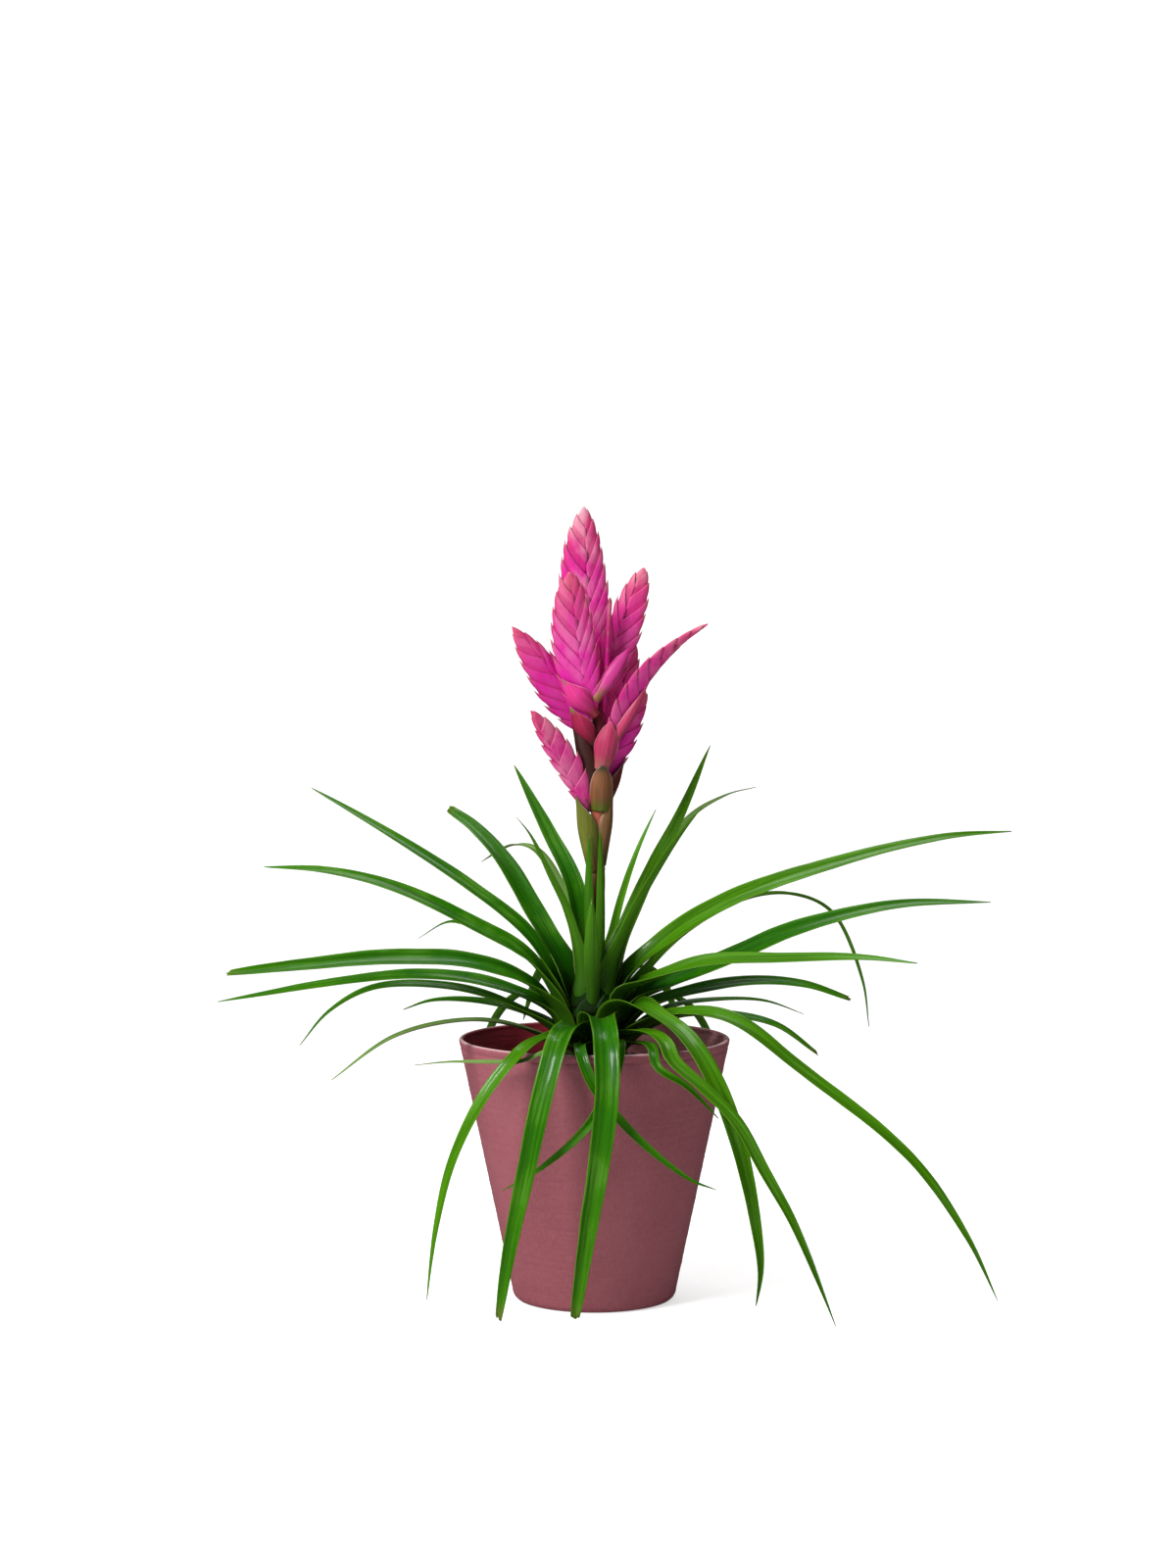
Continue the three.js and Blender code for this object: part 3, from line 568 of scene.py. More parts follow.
@dataclass(frozen=True)
class StemFinish(Finish):
    """Gloss and grain of the stalk, its sheaths, the crown and the pups; their colours are marks."""

    least_rough: float
    across: float
    along: float
    streaked: float
    specular: float
    dark: Triple

    def paint(self, desk: SkinDesk) -> None:
        """Paints a fibrous plant skin that takes its colour from the mesh's marks.

        Args:
            desk: The desk on the new material.
        """
        colour, _ = desk.mark("skin_colour")
        fibre, _ = desk.mark("skin_fibre")
        streaks, veins = desk.fibres(fibre, self.across, self.along)
        patches = desk.patches(per_metre=120.0, flatten=0.5)
        lined = desk.blend(desk.rise(streaks, 0.4, 0.72, self.streaked), colour, self.dark)
        light = desk.blend(desk.rise(patches, 0.5, 0.75, 0.25), lined, colour, "SCREEN")
        desk.surface(light, patches, spread=0.3, least=self.least_rough)
        desk.plain(Specular_IOR_Level=self.specular)
        desk.relief(desk.maths("ADD", veins, streaks), distance=0.00025, strength=0.5)


@dataclass(frozen=True)
class BarkFinish(Finish):
    """Colours of the bark and fibre that fill the pot."""

    dark: Triple = (0.018, 0.010, 0.006)
    brown: Triple = (0.095, 0.045, 0.020)
    tan: Triple = (0.24, 0.13, 0.062)

    def paint(self, desk: SkinDesk) -> None:
        """Paints rough bark: a tone for each chip, with flakes and dark cracks over it.

        Args:
            desk: The desk on the new material.
        """
        _, (tone, _, _) = desk.mark("chip_tone")
        coarse, fine = desk.patches(per_metre=260.0), desk.patches(per_metre=1400.0)
        colour = desk.blend(tone, self.dark, self.brown)
        flaked = desk.blend(desk.rise(coarse, 0.5, 0.7, tone), colour, self.tan)
        cracked = desk.blend(desk.rise(fine, 0.52, 0.36), flaked, self.dark)
        desk.surface(cracked, fine, spread=0.3, least=0.7)
        desk.relief(desk.maths("ADD", coarse, fine), distance=0.0012, strength=0.8)


@dataclass(frozen=True)
class PotFinish(Finish):
    """Colours of the matte cover pot: dusty rose outside; inside, dark wine as painted shade, turning to pale
    pink as painted light where light falls in; a pale rim as painted highlight.
    """

    rose: Triple = (0.305, 0.078, 0.100)
    worn: Triple = (0.400, 0.130, 0.155)
    # rim: pale colour of the painted highlight along the rim's crest
    rim: Triple = (0.80, 0.55, 0.56)
    # inside: dark wine, painted shade inside the pot; lit: pale pink, painted light on the inner side that
    # faces the light
    inside: Triple = (0.300, 0.022, 0.038)
    lit: Triple = (0.950, 0.400, 0.450)

    def paint(self, desk: SkinDesk) -> None:
        """Paints the pot's skin: fine upright lines crossed by faint ripples, with a painted highlight on the
        rim.

        Args:
            desk: The desk on the new material.
        """
        _, (rim, inside, lit) = desk.mark("pot_place")
        warp = desk.patches(per_metre=1500.0, flatten=0.09)
        weft = desk.patches(per_metre=190.0, flatten=7.0)
        waves = desk.patches(per_metre=40.0, flatten=12.0)
        cloud = desk.patches(per_metre=16.0)
        lines = desk.maths("ADD", desk.maths("MULTIPLY", warp, 0.7), desk.maths("MULTIPLY", weft, 0.3))
        colour = desk.blend(desk.rise(lines, 0.36, 0.66, 0.45), self.rose, self.worn)
        clouded = desk.blend(desk.rise(cloud, 0.42, 0.62, 0.2), colour, self.worn)
        # Painted highlight: the rim's crest is painted pale.
        rim_highlighted = desk.blend(desk.maths("MULTIPLY", rim, 0.85), clouded, self.rim)
        # Painted light and shade inside: dark wine on the shaded side, pale pink on the side that faces the
        # light.
        lined = desk.blend(lit, self.inside, self.lit)
        desk.surface(desk.blend(inside, rim_highlighted, lined), lines, spread=0.2, least=0.52)
        desk.plain(Specular_IOR_Level=0.3)
        height = desk.maths("ADD", desk.maths("MULTIPLY", waves, 1.6), lines)
        desk.relief(height, distance=0.00045, strength=0.5)


# Crown and pups


@dataclass
class Crown:
    """The short stem with its wrapped leaf bases, and the small pups at its foot, one piece.

    The stem has its radii at its heights, from the mix to its top, and is a plug below the mix. It is painted
    near-black green, as painted shade among the leaves.
    """

    finish: StemFinish
    leaves: Sequence["Leaf"]
    foot: float = 114.0
    mix_top: float = 136.0
    top: float = 194.0
    plug_radius: float = 12.0
    heights: Sequence[float] = (136, 146, 156, 167, 178, 188, 194)
    radii: Sequence[float] = (12, 17, 18.5, 16.5, 13, 9.5, 7.6)
    sides: int = 72
    skin: float = 0.4
    pups: int = 4
    pup_blades: int = 7
    pup_length: float = 13.0
    pup_height: float = 139.0
    pup_lean: float = 43.0
    pup_first: float = -112.0
    pup_step: float = 97.0
    pup_skin: float = 0.35
    pup_seed: int = 500
    base_seed: int = 60
    base_drop: float = 15.0
    base_rise: float = 6.0
    base_wrap: float = 50.0
    # low and high: near-black greens, painted shade over a stem that lies in the shadow of its leaves
    low: Triple = (0.012, 0.018, 0.004)
    high: Triple = (0.003, 0.015, 0.0005)
    pup_base: Triple = (0.05, 0.10, 0.008)
    pup_tip: Triple = (0.12, 0.26, 0.010)

    def radius(self, height: float) -> float:
        """Gives the crown's radius at a height."""
        return float(np.interp(height, self.heights, self.radii))

    def build(self) -> None:
        """Builds and dresses the crown with the clasping bases of its leaves and its pups."""
        draft = MeshDraft()
        self.add_stem(draft)
        for number, leaf in enumerate(self.leaves):
            self.add_leaf_base(draft, leaf, number)
        for index in range(self.pups):
            self.add_pup(draft, index)
        draft.make("crown_and_pups", self.finish, "crown")

    def add_stem(self, draft: MeshDraft) -> None:
        """Adds the stem, ridged by the leaf bases that wrap it in a spiral.

        Args:
            draft: The mesh that it goes into.
        """
        levels = np.concatenate([np.linspace(self.foot, self.mix_top, 8), np.linspace(138, self.top, 44)])
        turn = around(self.sides)
        rings = np.zeros((len(levels), self.sides, 3))
        for r, z in enumerate(levels):
            ridges = 0.045 * np.sin(9 * turn + z * 0.23) + 0.03 * np.sin(5 * turn - z * 0.31)
            shown = z > self.mix_top
            size = (self.radius(z) if shown else self.plug_radius) * (0.96 + ridges * shown)
            rings[r] = triples(turn.shape, size * np.cos(turn), size * np.sin(turn), z)
        # Painted shade: the stem runs from one near-black green to another up its height.
        share = smooth_share(levels, 140.0, 172.0)[:, None, None]
        colour = np.broadcast_to(mix(np.array(self.low), np.array(self.high), share), rings.shape)
        fibre = triples(rings.shape[:2], np.abs(turn - math.pi) * 17, levels[:, None], 0.0)
        draft.add_tube(rings, {"skin_colour": colour, "skin_fibre": fibre})

    def add_leaf_base(self, draft: MeshDraft, leaf: "Leaf", number: int) -> None:
        """Adds the broad base of a leaf, which clasps the crown below the blade.

        Args:
            draft: The mesh that it goes into.
            leaf: The leaf.
            number: Its place in the list, which also sets how far out it lies.
        """
        foot, top = leaf.foot - self.base_drop, leaf.foot + self.base_rise
        clear = 0.35 + 0.3 * (number % 4)
        heights = np.clip((foot, (foot + top) / 2, top), self.mix_top, self.top - 0.1)
        low, middle, high = (self.radius(z) + clear for z in heights)
        narrow = min(math.degrees(0.5 * leaf.width / middle), self.base_wrap)
        reach = (low, middle, high + 1.0)
        wraps = (self.base_wrap, self.base_wrap * 0.8, narrow)
        # The leaf bases are painted near-black, as painted shade.
        base = Sheath((0, 0, foot), (0, 0, top), leaf.bearing, reach, reach, wraps, Shade.SHADOWED_BASE, 0.1)
        base.add_to(draft, self.skin, self.base_seed + number, rows=12, columns=11)

    def add_pup(self, draft: MeshDraft, index: int) -> None:
        """Adds a pup: a small tuft of pointed leaves that lean apart.

        Args:
            draft: The mesh that it goes into.
            index: Its number, which sets its bearing and its small irregularities.
        """
        draw = random.Random(self.pup_seed + index)
        outward, _ = compass(self.pup_first + index * self.pup_step)
        lean = math.radians(self.pup_lean)
        axis = outward * math.sin(lean) + np.array([0, 0, math.cos(lean)])
        foot = outward * self.plug_radius + np.array([0, 0, self.pup_height]) - axis * 3.0
        aside = unit(np.cross(axis, outward))
        other = np.cross(axis, aside)
        share = np.linspace(0.0, 1.0, 12)
        u = np.linspace(-1, 1, 7)
        for k in range(self.pup_blades):
            turn = k * 2.4 + index
            out = aside * math.cos(turn) + other * math.sin(turn)
            tall = self.pup_length * draw.uniform(0.75, 1.1) * (1 - 0.05 * k)
            flare = (3.4 - 0.35 * k) * share**1.8
            line = foot + axis * (share * (tall + 3))[:, None] + out * (1.4 + flare)[:, None]
            half = ((2.3 - 0.15 * k) * (1 - share**1.7) + 0.12)[:, None]
            grid = line[:, None, :] + np.cross(axis, out) * (half * u)[..., None]
            grid = grid - out * (half * 0.5 * u**2)[..., None]
            colour = mix(np.array(self.pup_base), np.array(self.pup_tip), share[:, None, None])
            fibre = triples(grid.shape[:2], half * u, share[:, None] * tall, k)
            marks = {"skin_colour": np.broadcast_to(colour, grid.shape), "skin_fibre": fibre}
            draft.add_sheet(grid, self.pup_skin, marks)


# Leaves


class LeafTone(Enum):
    """How green a leaf is."""

    DEEP = 0.1
    MID = 0.5
    BRIGHT = 0.95
    DULL = 0.3


@dataclass(frozen=True)
class Leaf:
    """One strap leaf: where it grows, how wide and rolled it is, and the way that its middle takes.

    The route's places are (outward, up) or (outward, up, aside) from the crown's axis, along the bearing.
    Tip is the width where it is cut short, or 0. Waist is the share of its width that it has at its root,
    where it isn't the usual one.
    """

    bearing: float
    foot: float
    width: float
    roll: float
    tip: float
    tone: LeafTone
    route: Route
    waist: float | None = None


@dataclass
class Foliage:
    """The strap leaves round the crown, one piece for each.

    A blade is a sheet with a channel down its middle, thinner at its edges. It clasps the crown over its
    first millimetres, turns to its roll further out, and twists, waves and varies in width where it is free.
    """

    leaves: Sequence[Leaf]
    crown: Crown
    green: LeafFinish
    grey: LeafFinish
    station: float = 3.6
    columns: int = 13
    depth: float = 0.85
    edge_depth: float = 0.35
    root_sunk: float = 5.0
    root_width: float = 0.8
    point: float = 0.035
    channel: float = 0.34
    roll_span: Pair = (12.0, 70.0)
    free_span: Pair = (30.0, 90.0)
    clasp: float = 0.75
    clasp_reach: float = 50.0
    clasp_fades: Pair = (182.0, 190.0)
    twist: float = 7.0
    twist_length: float = 90.0
    groove: float = 0.13
    wave: float = 0.5
    wave_length: float = 46.0
    uneven: float = 0.05
    uneven_length: float = 17.0

    def build(self) -> None:
        """Builds and dresses every leaf."""
        for number, leaf in enumerate(self.leaves, 1):
            draft = MeshDraft()
            self.add_blade(draft, leaf, number)
            finish = self.grey if leaf.tone is LeafTone.DULL else self.green
            draft.make(f"leaf_{number:02d}_blade", finish, f"leaf_{number:02d}")

    def course(self, leaf: Leaf) -> np.ndarray:
        """Runs along a leaf's middle, from inside the crown to its tip.

        Args:
            leaf: The leaf.

        Returns:
            Close places along it, one a row.
        """
        outward, aside = compass(leaf.bearing)
        ways = [(*place, 0.0)[:3] for place in [(self.crown.radius(leaf.foot), leaf.foot), *leaf.route]]
        points = np.array([outward * out + aside * side + np.array([0, 0, up]) for out, up, side in ways])
        inward = unit(0.75 * unit(points[0] - points[1]) - 0.25 * outward)
        return smooth_curve(np.vstack([points[0] + inward * self.root_sunk, points]))

    def half_width(self, leaf: Leaf, share: np.ndarray, length: float) -> np.ndarray:
        """Gives half a blade's width: a strap that clasps at its root, or narrows to its waist there.

        Args:
            leaf: The leaf.
            share: Shares of its length.
            length: Its length.

        Returns:
            Half the width at each share.
        """
        end = leaf.tip / leaf.width if leaf.tip else self.point
        strap = mix(end, 1, (1 - share**2.3) ** 0.85)
        if leaf.waist is not None:
            return leaf.width / 2 * mix(leaf.waist, 1, smooth_share(share, 0.0, 0.7)) * strap
        hold = self.clasp * (1 - smooth_share(leaf.foot, *self.clasp_fades))
        clasp = 1 + hold * (1 - smooth_share(share * length, 0.25 * self.clasp_reach, self.clasp_reach))
        return leaf.width / 2 * mix(self.root_width, 1, smooth_share(share, 0.0, 0.12)) * strap * clasp

    def add_blade(self, draft: MeshDraft, leaf: Leaf, number: int) -> None:
        """Adds one leaf blade.

        Args:
            draft: The mesh that it goes into.
            leaf: The leaf.
            number: Its number, which seeds its small irregularities.
        """
        draw = random.Random(number)
        course = self.course(leaf)
        rows = max(12, round(float(np.linalg.norm(np.diff(course, axis=0), axis=1).sum()) / self.station))
        places, tangents, length = spaced(course, rows)
        share = np.linspace(0.0, 1.0, rows)
        across = np.linspace(-1.0, 1.0, self.columns)
        across = np.sign(across) * np.abs(across) ** 0.85
        half = self.half_width(leaf, share, length)
        _, aside = compass(leaf.bearing)
        grid = np.zeros((rows, self.columns, 3))
        for r in range(rows):
            aside = unit(aside - tangents[r] * np.dot(aside, tangents[r]))
            normal = np.cross(tangents[r], aside)
            run = share[r] * length
            free = smooth_share(run, *self.free_span)
            twist = self.twist * free * ripple(run / self.twist_length, number * 3.1, 0.5)
            roll = math.radians(leaf.roll * smooth_share(run, *self.roll_span) + twist)
            side = aside * math.cos(roll) + normal * math.sin(roll)
            up = normal * math.cos(roll) - aside * math.sin(roll)
            folded = self.channel * (1.35 - 0.5 * smooth_share(share[r], 0.0, 0.5))
            for c, u in enumerate(across):
                wave_row, width_row = (2.0, 4.0) if u > 0 else (7.0, 1.0)
                wave = ripple(run / self.wave_length, 9.7 * number, wave_row) * self.wave * free
                groove = self.groove * min(1.0, half[r] / 4) * math.sin(8.5 * u + number) * free
                lift = half[r] * folded * abs(u) ** 1.45 + wave * abs(u) ** 2 + groove
                uneven = 1 + self.uneven * free * ripple(run / self.uneven_length, number, width_row)
                grid[r, c] = places[r] + side * (half[r] * u * uneven) + up * lift
        if leaf.tip:
            self.fray(grid, tangents, across, number)
        thin = np.clip(half / 3.0, 0.35, 1.0)[:, None]
        depth = mix(self.edge_depth, self.depth, 1 - np.abs(across) ** 2.5) * thin
        dry = draw.uniform(0.2, 0.7) if leaf.tip or draw.random() < 0.6 else 0.0
        shape, far = grid.shape[:2], share[:, None]
        marks = {
            "leaf_place": triples(shape, across, far, 0.0),
            "leaf_fibre": triples(shape, across * half[:, None], far * length, number * 11.3),
            "leaf_tone": triples(shape, leaf.tone.value, dry, number),
        }
        draft.add_sheet(grid, depth, marks, "leaf_place")

    @staticmethod
    def fray(grid: np.ndarray, tangents: np.ndarray, across: np.ndarray, number: int) -> None:
        """Makes the last few rows of a blade end in a ragged, slanting cut.

        Args:
            grid: The blade's rows and columns of points, which are changed.
            tangents: Its direction at each row.
            across: Each column's place, from -1 to 1.
            number: The leaf's number.
        """
        rows = len(grid)
        slant = random.Random(number * 7).uniform(-1.0, 1.0)
        for c, u in enumerate(across):
            ragged = 2.2 * ripple(u * 2.6, number, 0.0) + 1.6 * slant * u - 0.9 * u * u
            for r in range(rows - 5, rows):
                grid[r, c] += tangents[r] * ragged * ((r - rows + 6) / 5) ** 1.5


# Flower spikes


@dataclass(frozen=True)
class Spike:
    """One flattened flower spike: where it stands, how wide it is, which way it faces, and its colour.

    The bow is how far its middle leans to its own right and back. Middle is where the two ranks meet on its
    front, as a share of half its width to the right. Steep is how far a bract's margin falls for each half
    width, low and high on the spike. Taper is the share of its length where it starts to narrow, and how
    sharply it does. Teeth are how far the bracts' tips stand out on the left and right, as shares of the
    usual. Rose runs from 0 to 1, and so do the strengths of its painted sheen and its painted shade.
    """

    foot: Triple
    tip: Triple
    width: float
    faces: float
    bow: Pair = (0.0, 0.0)
    middle: float = 0.0
    steep: Pair = (1.2, 2.0)
    taper: Pair = (0.5, 0.5)
    teeth: Pair = (1.0, 1.0)
    rose: float = 0.0
    sheen_strength: float = 0.1
    gloom: float = 0.0
    overrun: float = 2.2

    @property
    def length(self) -> float:
        """Gives its length, to a little past its tip."""
        return float(np.linalg.norm(np.subtract(self.tip, self.foot))) + self.overrun

    def half(self, share: Number) -> Number:
        """Gives half its width: a quick rise from the foot, then the taper.

        Args:
            share: Shares of its length.

        Returns:
            Half the width there.
        """
        start, power = self.taper
        place = np.clip(share, 0.0, 1.0)
        below = 0.09 + 0.41 * np.sin(np.minimum(1.0, place / 0.45) * math.pi / 2) ** 0.75
        left = np.maximum(0.0, 1 - (np.maximum(0.0, place - start) / (1 - start)) ** 2)
        return self.width * np.minimum(below, np.maximum(0.5 * left**power, 0.01))

    def settle(self, local: np.ndarray) -> np.ndarray:
        """Takes places from the spike's own frame to the part's, with its bow.

        Args:
            local: Places as (right, back, along).

        Returns:
            The same places in the part's frame.
        """
        foot = np.array(self.foot)
        along = unit(np.array(self.tip) - foot)
        back = -compass(self.faces)[0]
        back = unit(back - along * np.dot(back, along))
        right = np.cross(back, along)
        share = np.clip(local[..., 2:3] / self.length, 0.0, 1.0)
        bend = 4 * share * (1 - share)
        x, y = local[..., 0:1] + self.bow[0] * bend, local[..., 1:2] + self.bow[1] * bend
        return foot + right * x + back * y + along * local[..., 2:3]


@dataclass
class FlowerSpikes:
    """The spikes of folded bracts in two ranks, one piece for each.

    Pitch is how far apart the bracts of a rank are. First and last are where the lowest and highest tips
    are, as shares of the length, and crowding brings them closer towards the top. Covers is how many
    pitches a bract is long under its tip, tip out how far that stands out, and scallop and puff how full
    its edge and its face are.
    """

    spikes: Sequence[Spike]
    finish: BractFinish
    pitch: float = 14.5
    first: float = 0.26
    last: float = 0.985
    crowding: float = 1.25
    covers: float = 1.5
    tip_out: float = 0.95
    scallop: float = 0.65
    puff: float = 0.4
    thickness: float = 5.0
    rows: int = 17
    columns: int = 21
    skin: float = 0.24
    core_sides: int = 16

    def build(self) -> None:
        """Builds and dresses every spike."""
        for number, spike in enumerate(self.spikes, 1):
            draft = MeshDraft()
            self.add_core(draft, spike, number)
            count = 2 * round(spike.length / self.pitch) + 2
            shares = mix(self.last, self.first, np.linspace(1.0, 0.0, count) ** self.crowding)
            for k in range(count):
                self.add_bract(draft, spike, shares, k, number * 40 + k)
            draft.make(f"spike_{number}_bracts", self.finish, f"spike_{number}")

    def depth(self, half: Number) -> Number:
        """Gives half a spike's thickness where half its width is this."""
        return self.thickness / 2 * np.minimum(1.0, 0.45 + half / 16)

    def add_core(self, draft: MeshDraft, spike: Spike, number: int) -> None:
        """Adds a spike's own axis, which the bracts clasp, and its closed bud at the tip.

        Args:
            draft: The mesh that it goes into.
            spike: The spike.
            number: Its number.
        """
        bud_rings = 0.8 + 0.2 * np.linspace(0, 1, 24) ** 0.6
        share = np.concatenate([np.linspace(0.0, 0.8, 10, endpoint=False), bud_rings])[:, None]
        bud = smooth_share(share, 0.82, 0.94)
        half = spike.half(share)
        slim = np.minimum(half * 0.45, self.thickness * 0.26)
        deep = mix(slim, self.depth(half) * np.minimum(1.0, half / 2) * 0.66, bud)
        wide = half * (0.45 + 0.37 * bud)
        turn = around(self.core_sides)
        shape = (len(share), self.core_sides)
        local = triples(shape, wide * np.cos(turn), deep * np.sin(turn), share * spike.length)
        # The core takes full salmon, twice the spike's painted sheen, and painted shade everywhere but at its
        # bud.
        marks = {
            "bract_place": triples(shape, 0.5, 0.3, 5.0),
            "bract_tint": triples(shape, 1.0, spike.sheen_strength * 2, 0.8 * (1 - bud)),
            "bract_fibre": local + number,
        }
        draft.add_tube(spike.settle(local), marks)

    def add_bract(self, draft: MeshDraft, spike: Spike, shares: np.ndarray, k: int, seed: int) -> None:
        """Adds one folded bract: its keel on the spike's edge, its margins running down to the midline.

        Args:
            draft: The mesh that it goes into.
            spike: The spike that carries it.
            shares: Where the bracts' tips are, as shares of the spike's length.
            k: Which of them it is; the odd ones are in the right rank.
            seed: Its number, for its small irregularities.
        """
        draw = random.Random(seed)
        length, share, rank = spike.length, shares[k], 1 if k % 2 else -1
        step = (shares[max(k, 2)] - shares[max(k, 2) - 2]) * length
        tip = share * length
        size = min(1.0, float(spike.half(share - 0.03)) / 8)
        steep = mix(*spike.steep, float(smooth_share(share, 0.25, 0.7)))
        level = 1 - 0.4 * float(smooth_share(share, 0.84, 0.98))
        drop = float(spike.half(share - 0.08)) * steep * level
        reach = self.covers * self.pitch
        keel = max(0.6, tip - 0.9 * reach)
        foot = max(0.4, min(tip - drop - 1.0 - 0.6 * reach, keel - 2.0))
        fold = np.linspace(-1.0, 1.0, self.columns)
        fold = np.sign(fold) * np.abs(fold) ** 1.35
        e = np.abs(fold)[None, :]
        v = (np.linspace(0.0, 1.0, self.rows) ** 0.8)[:, None]
        margin_z = tip - (drop + 1.0) * e ** (0.9 + 0.5 * float(smooth_share(share, 0.8, 1.0)))
        z = mix(keel * (1 - e) + foot * e, margin_z, v)
        # above: how far a place lies over the lower bract's margin, which places the painted shadow line.
        above = z - (margin_z - step)
        shown = np.clip(above / step, 0.0, 1.0)
        puff = np.sin(math.pi * shown**0.85)
        wide = spike.half(z / length)
        tooth = spike.teeth[0 if rank < 0 else 1] * size * draw.uniform(0.6, 1.3)
        x = (1 - e) * (wide * (0.93 + 0.07 * v) + self.tip_out * tooth * shown**2.4)
        x = x + self.scallop * tooth * puff * (1 - e) ** 3 - 0.06 * wide * e * v
        round_off = (1 - (1 - e) ** 2.1) ** 0.62
        crease = 0.05 * math.sin(seed * 1.7) * np.sin(math.pi * v) * e
        swell = self.puff * size * puff * np.sin(math.pi * e**0.8)
        thick = self.depth(wide) * (0.58 + 0.42 * v**0.9) * round_off * (1 + crease) + swell
        front = np.sign(fold)[None, :]
        aside = spike.middle * wide * e**1.4 * rank * front
        right = rank * x + draw.uniform(-0.2, 0.2) * v + aside
        local = triples(z.shape, right, -rank * front * thick, z)
        # Painted sheen: how strongly this bract is painted with pale patches of highlight.
        sheen_share = min(1.0, spike.sheen_strength * draw.uniform(0.6, 1.4))
        height = np.clip(z / length, 0.0, 1.0)
        rose = mix(spike.rose, 1, smooth_share(height, 0.5, 1.0) * draw.uniform(0.75, 1.0))
        # Painted shade: strongest low on the spike, fading towards its tip.
        gloom = spike.gloom * (1 - 0.7 * smooth_share(height, 0.2, 0.9))
        marks = {
            "bract_place": triples(z.shape, e, v, above),
            "bract_tint": triples(z.shape, rose, sheen_share * (0.4 + height), gloom),
            "bract_fibre": triples(z.shape, fold * wide, z, seed * 2.7),
        }
        draft.add_sheet(spike.settle(local), self.skin, marks)


# Stalk


class Shade(Enum):
    """Colours of a sheath: at its foot, over its body, and at its tip."""

    LEAF_GREEN = ((0.020, 0.070, 0.005), (0.070, 0.150, 0.010), (0.16, 0.22, 0.02))
    OLIVE = ((0.15, 0.080, 0.020), (0.150, 0.165, 0.018), (0.13, 0.105, 0.022))
    BROWN = ((0.110, 0.060, 0.018), (0.200, 0.095, 0.035), (0.17, 0.08, 0.03))
    SALMON = ((0.095, 0.120, 0.008), (0.230, 0.088, 0.034), (0.040, 0.055, 0.028))
    # Near-black maroon, as painted shade, for a bract that lies in shadow behind the stalk.
    SHADOWED_MAROON = ((0.060, 0.022, 0.010), (0.050, 0.014, 0.012), (0.12, 0.012, 0.03))
    # Dark red-brown, as painted shade, for a bract that lies in shadow at the back of the cluster.
    SHADOWED_RUSSET = ((0.120, 0.050, 0.018), (0.130, 0.014, 0.014), (0.07, 0.045, 0.02))
    CRIMSON = ((0.090, 0.010, 0.012), (0.360, 0.010, 0.062), (0.16, 0.24, 0.03))
    MAGENTA = ((0.300, 0.030, 0.040), (0.680, 0.028, 0.230), (0.30, 0.10, 0.06))
    ROSE = ((0.420, 0.120, 0.110), (0.480, 0.035, 0.115), (0.56, 0.06, 0.15))
    LILAC = ((0.300, 0.130, 0.050), (0.600, 0.045, 0.270), (0.56, 0.008, 0.23))
    # Near-black greens, as painted shade, for the leaf bases deep in the rosette.
    SHADOWED_BASE = ((0.006, 0.014, 0.001), (0.004, 0.026, 0.0005), (0.005, 0.036, 0.0005))


@dataclass(frozen=True)
class Sheath:
    """A bract that clasps the stalk or cups the foot of a spike.

    Its line runs from foot to top. Reach, breadth and wrap are given at the foot, the middle and the tip:
    how far it stands out the way it faces, half its width across that, and half the angle that it goes round.
    Hem is how pale its margins are.
    """

    foot: Triple
    top: Triple
    bearing: float
    reach: Triple
    breadth: Triple
    wrap: Triple
    shade: Shade
    hem: float = 0.6

    def add_to(self, draft: MeshDraft, skin: float, seed: int, rows: int = 26, columns: int = 21) -> None:
        """Adds the sheath: a thin sheet bent round its line, that opens upward and ends in its tip.

        Args:
            draft: The mesh that it goes into.
            skin: Its thickness.
            seed: Its number, for its small irregularities.
            rows: Places along it.
            columns: Places round it.
        """
        v = np.linspace(0.0, 1.0, rows)[:, None]
        u = np.linspace(-1.0, 1.0, columns)[None, :]
        foot, top = np.array(self.foot), np.array(self.top)
        along = unit(top - foot)
        facing, _ = compass(self.bearing)
        facing = unit(facing - along * np.dot(facing, along))
        reach, breadth, wrap = (halfway_stops(v, stops) for stops in (self.reach, self.breadth, self.wrap))
        round_tip = np.sqrt(np.clip(1 - smooth_share(v, 0.7, 1.0) ** 2, 0.0004, 1.0))
        turn = np.radians(wrap) * round_tip * u
        ruffle = 1 + 0.025 * np.sin(7 * turn + seed) * v
        outward = facing * (reach * np.cos(turn) * ruffle)[..., None]
        sideways = np.cross(facing, along) * (breadth * np.sin(turn) * ruffle)[..., None]
        grid = mix(foot, top, v)[:, None, :] + outward + sideways
        low, body, tip = (np.array(colour) for colour in self.shade.value)
        far = v[..., None]
        colour = mix(mix(low, body, smooth_share(far, 0.04, 0.36)), tip, smooth_share(far, 0.8, 0.98))
        border = smooth_share(np.abs(u), 0.86, 0.98)[..., None] * smooth_share(far, 0.1, 0.5)
        colour = colour + (np.minimum(colour + 0.27, 0.9) - colour) * border * self.hem
        length = float(np.linalg.norm(top - foot))
        fibre = triples(turn.shape, turn * breadth, v * length, seed * 5.3)
        draft.add_sheet(grid, skin, {"skin_colour": colour, "skin_fibre": fibre})


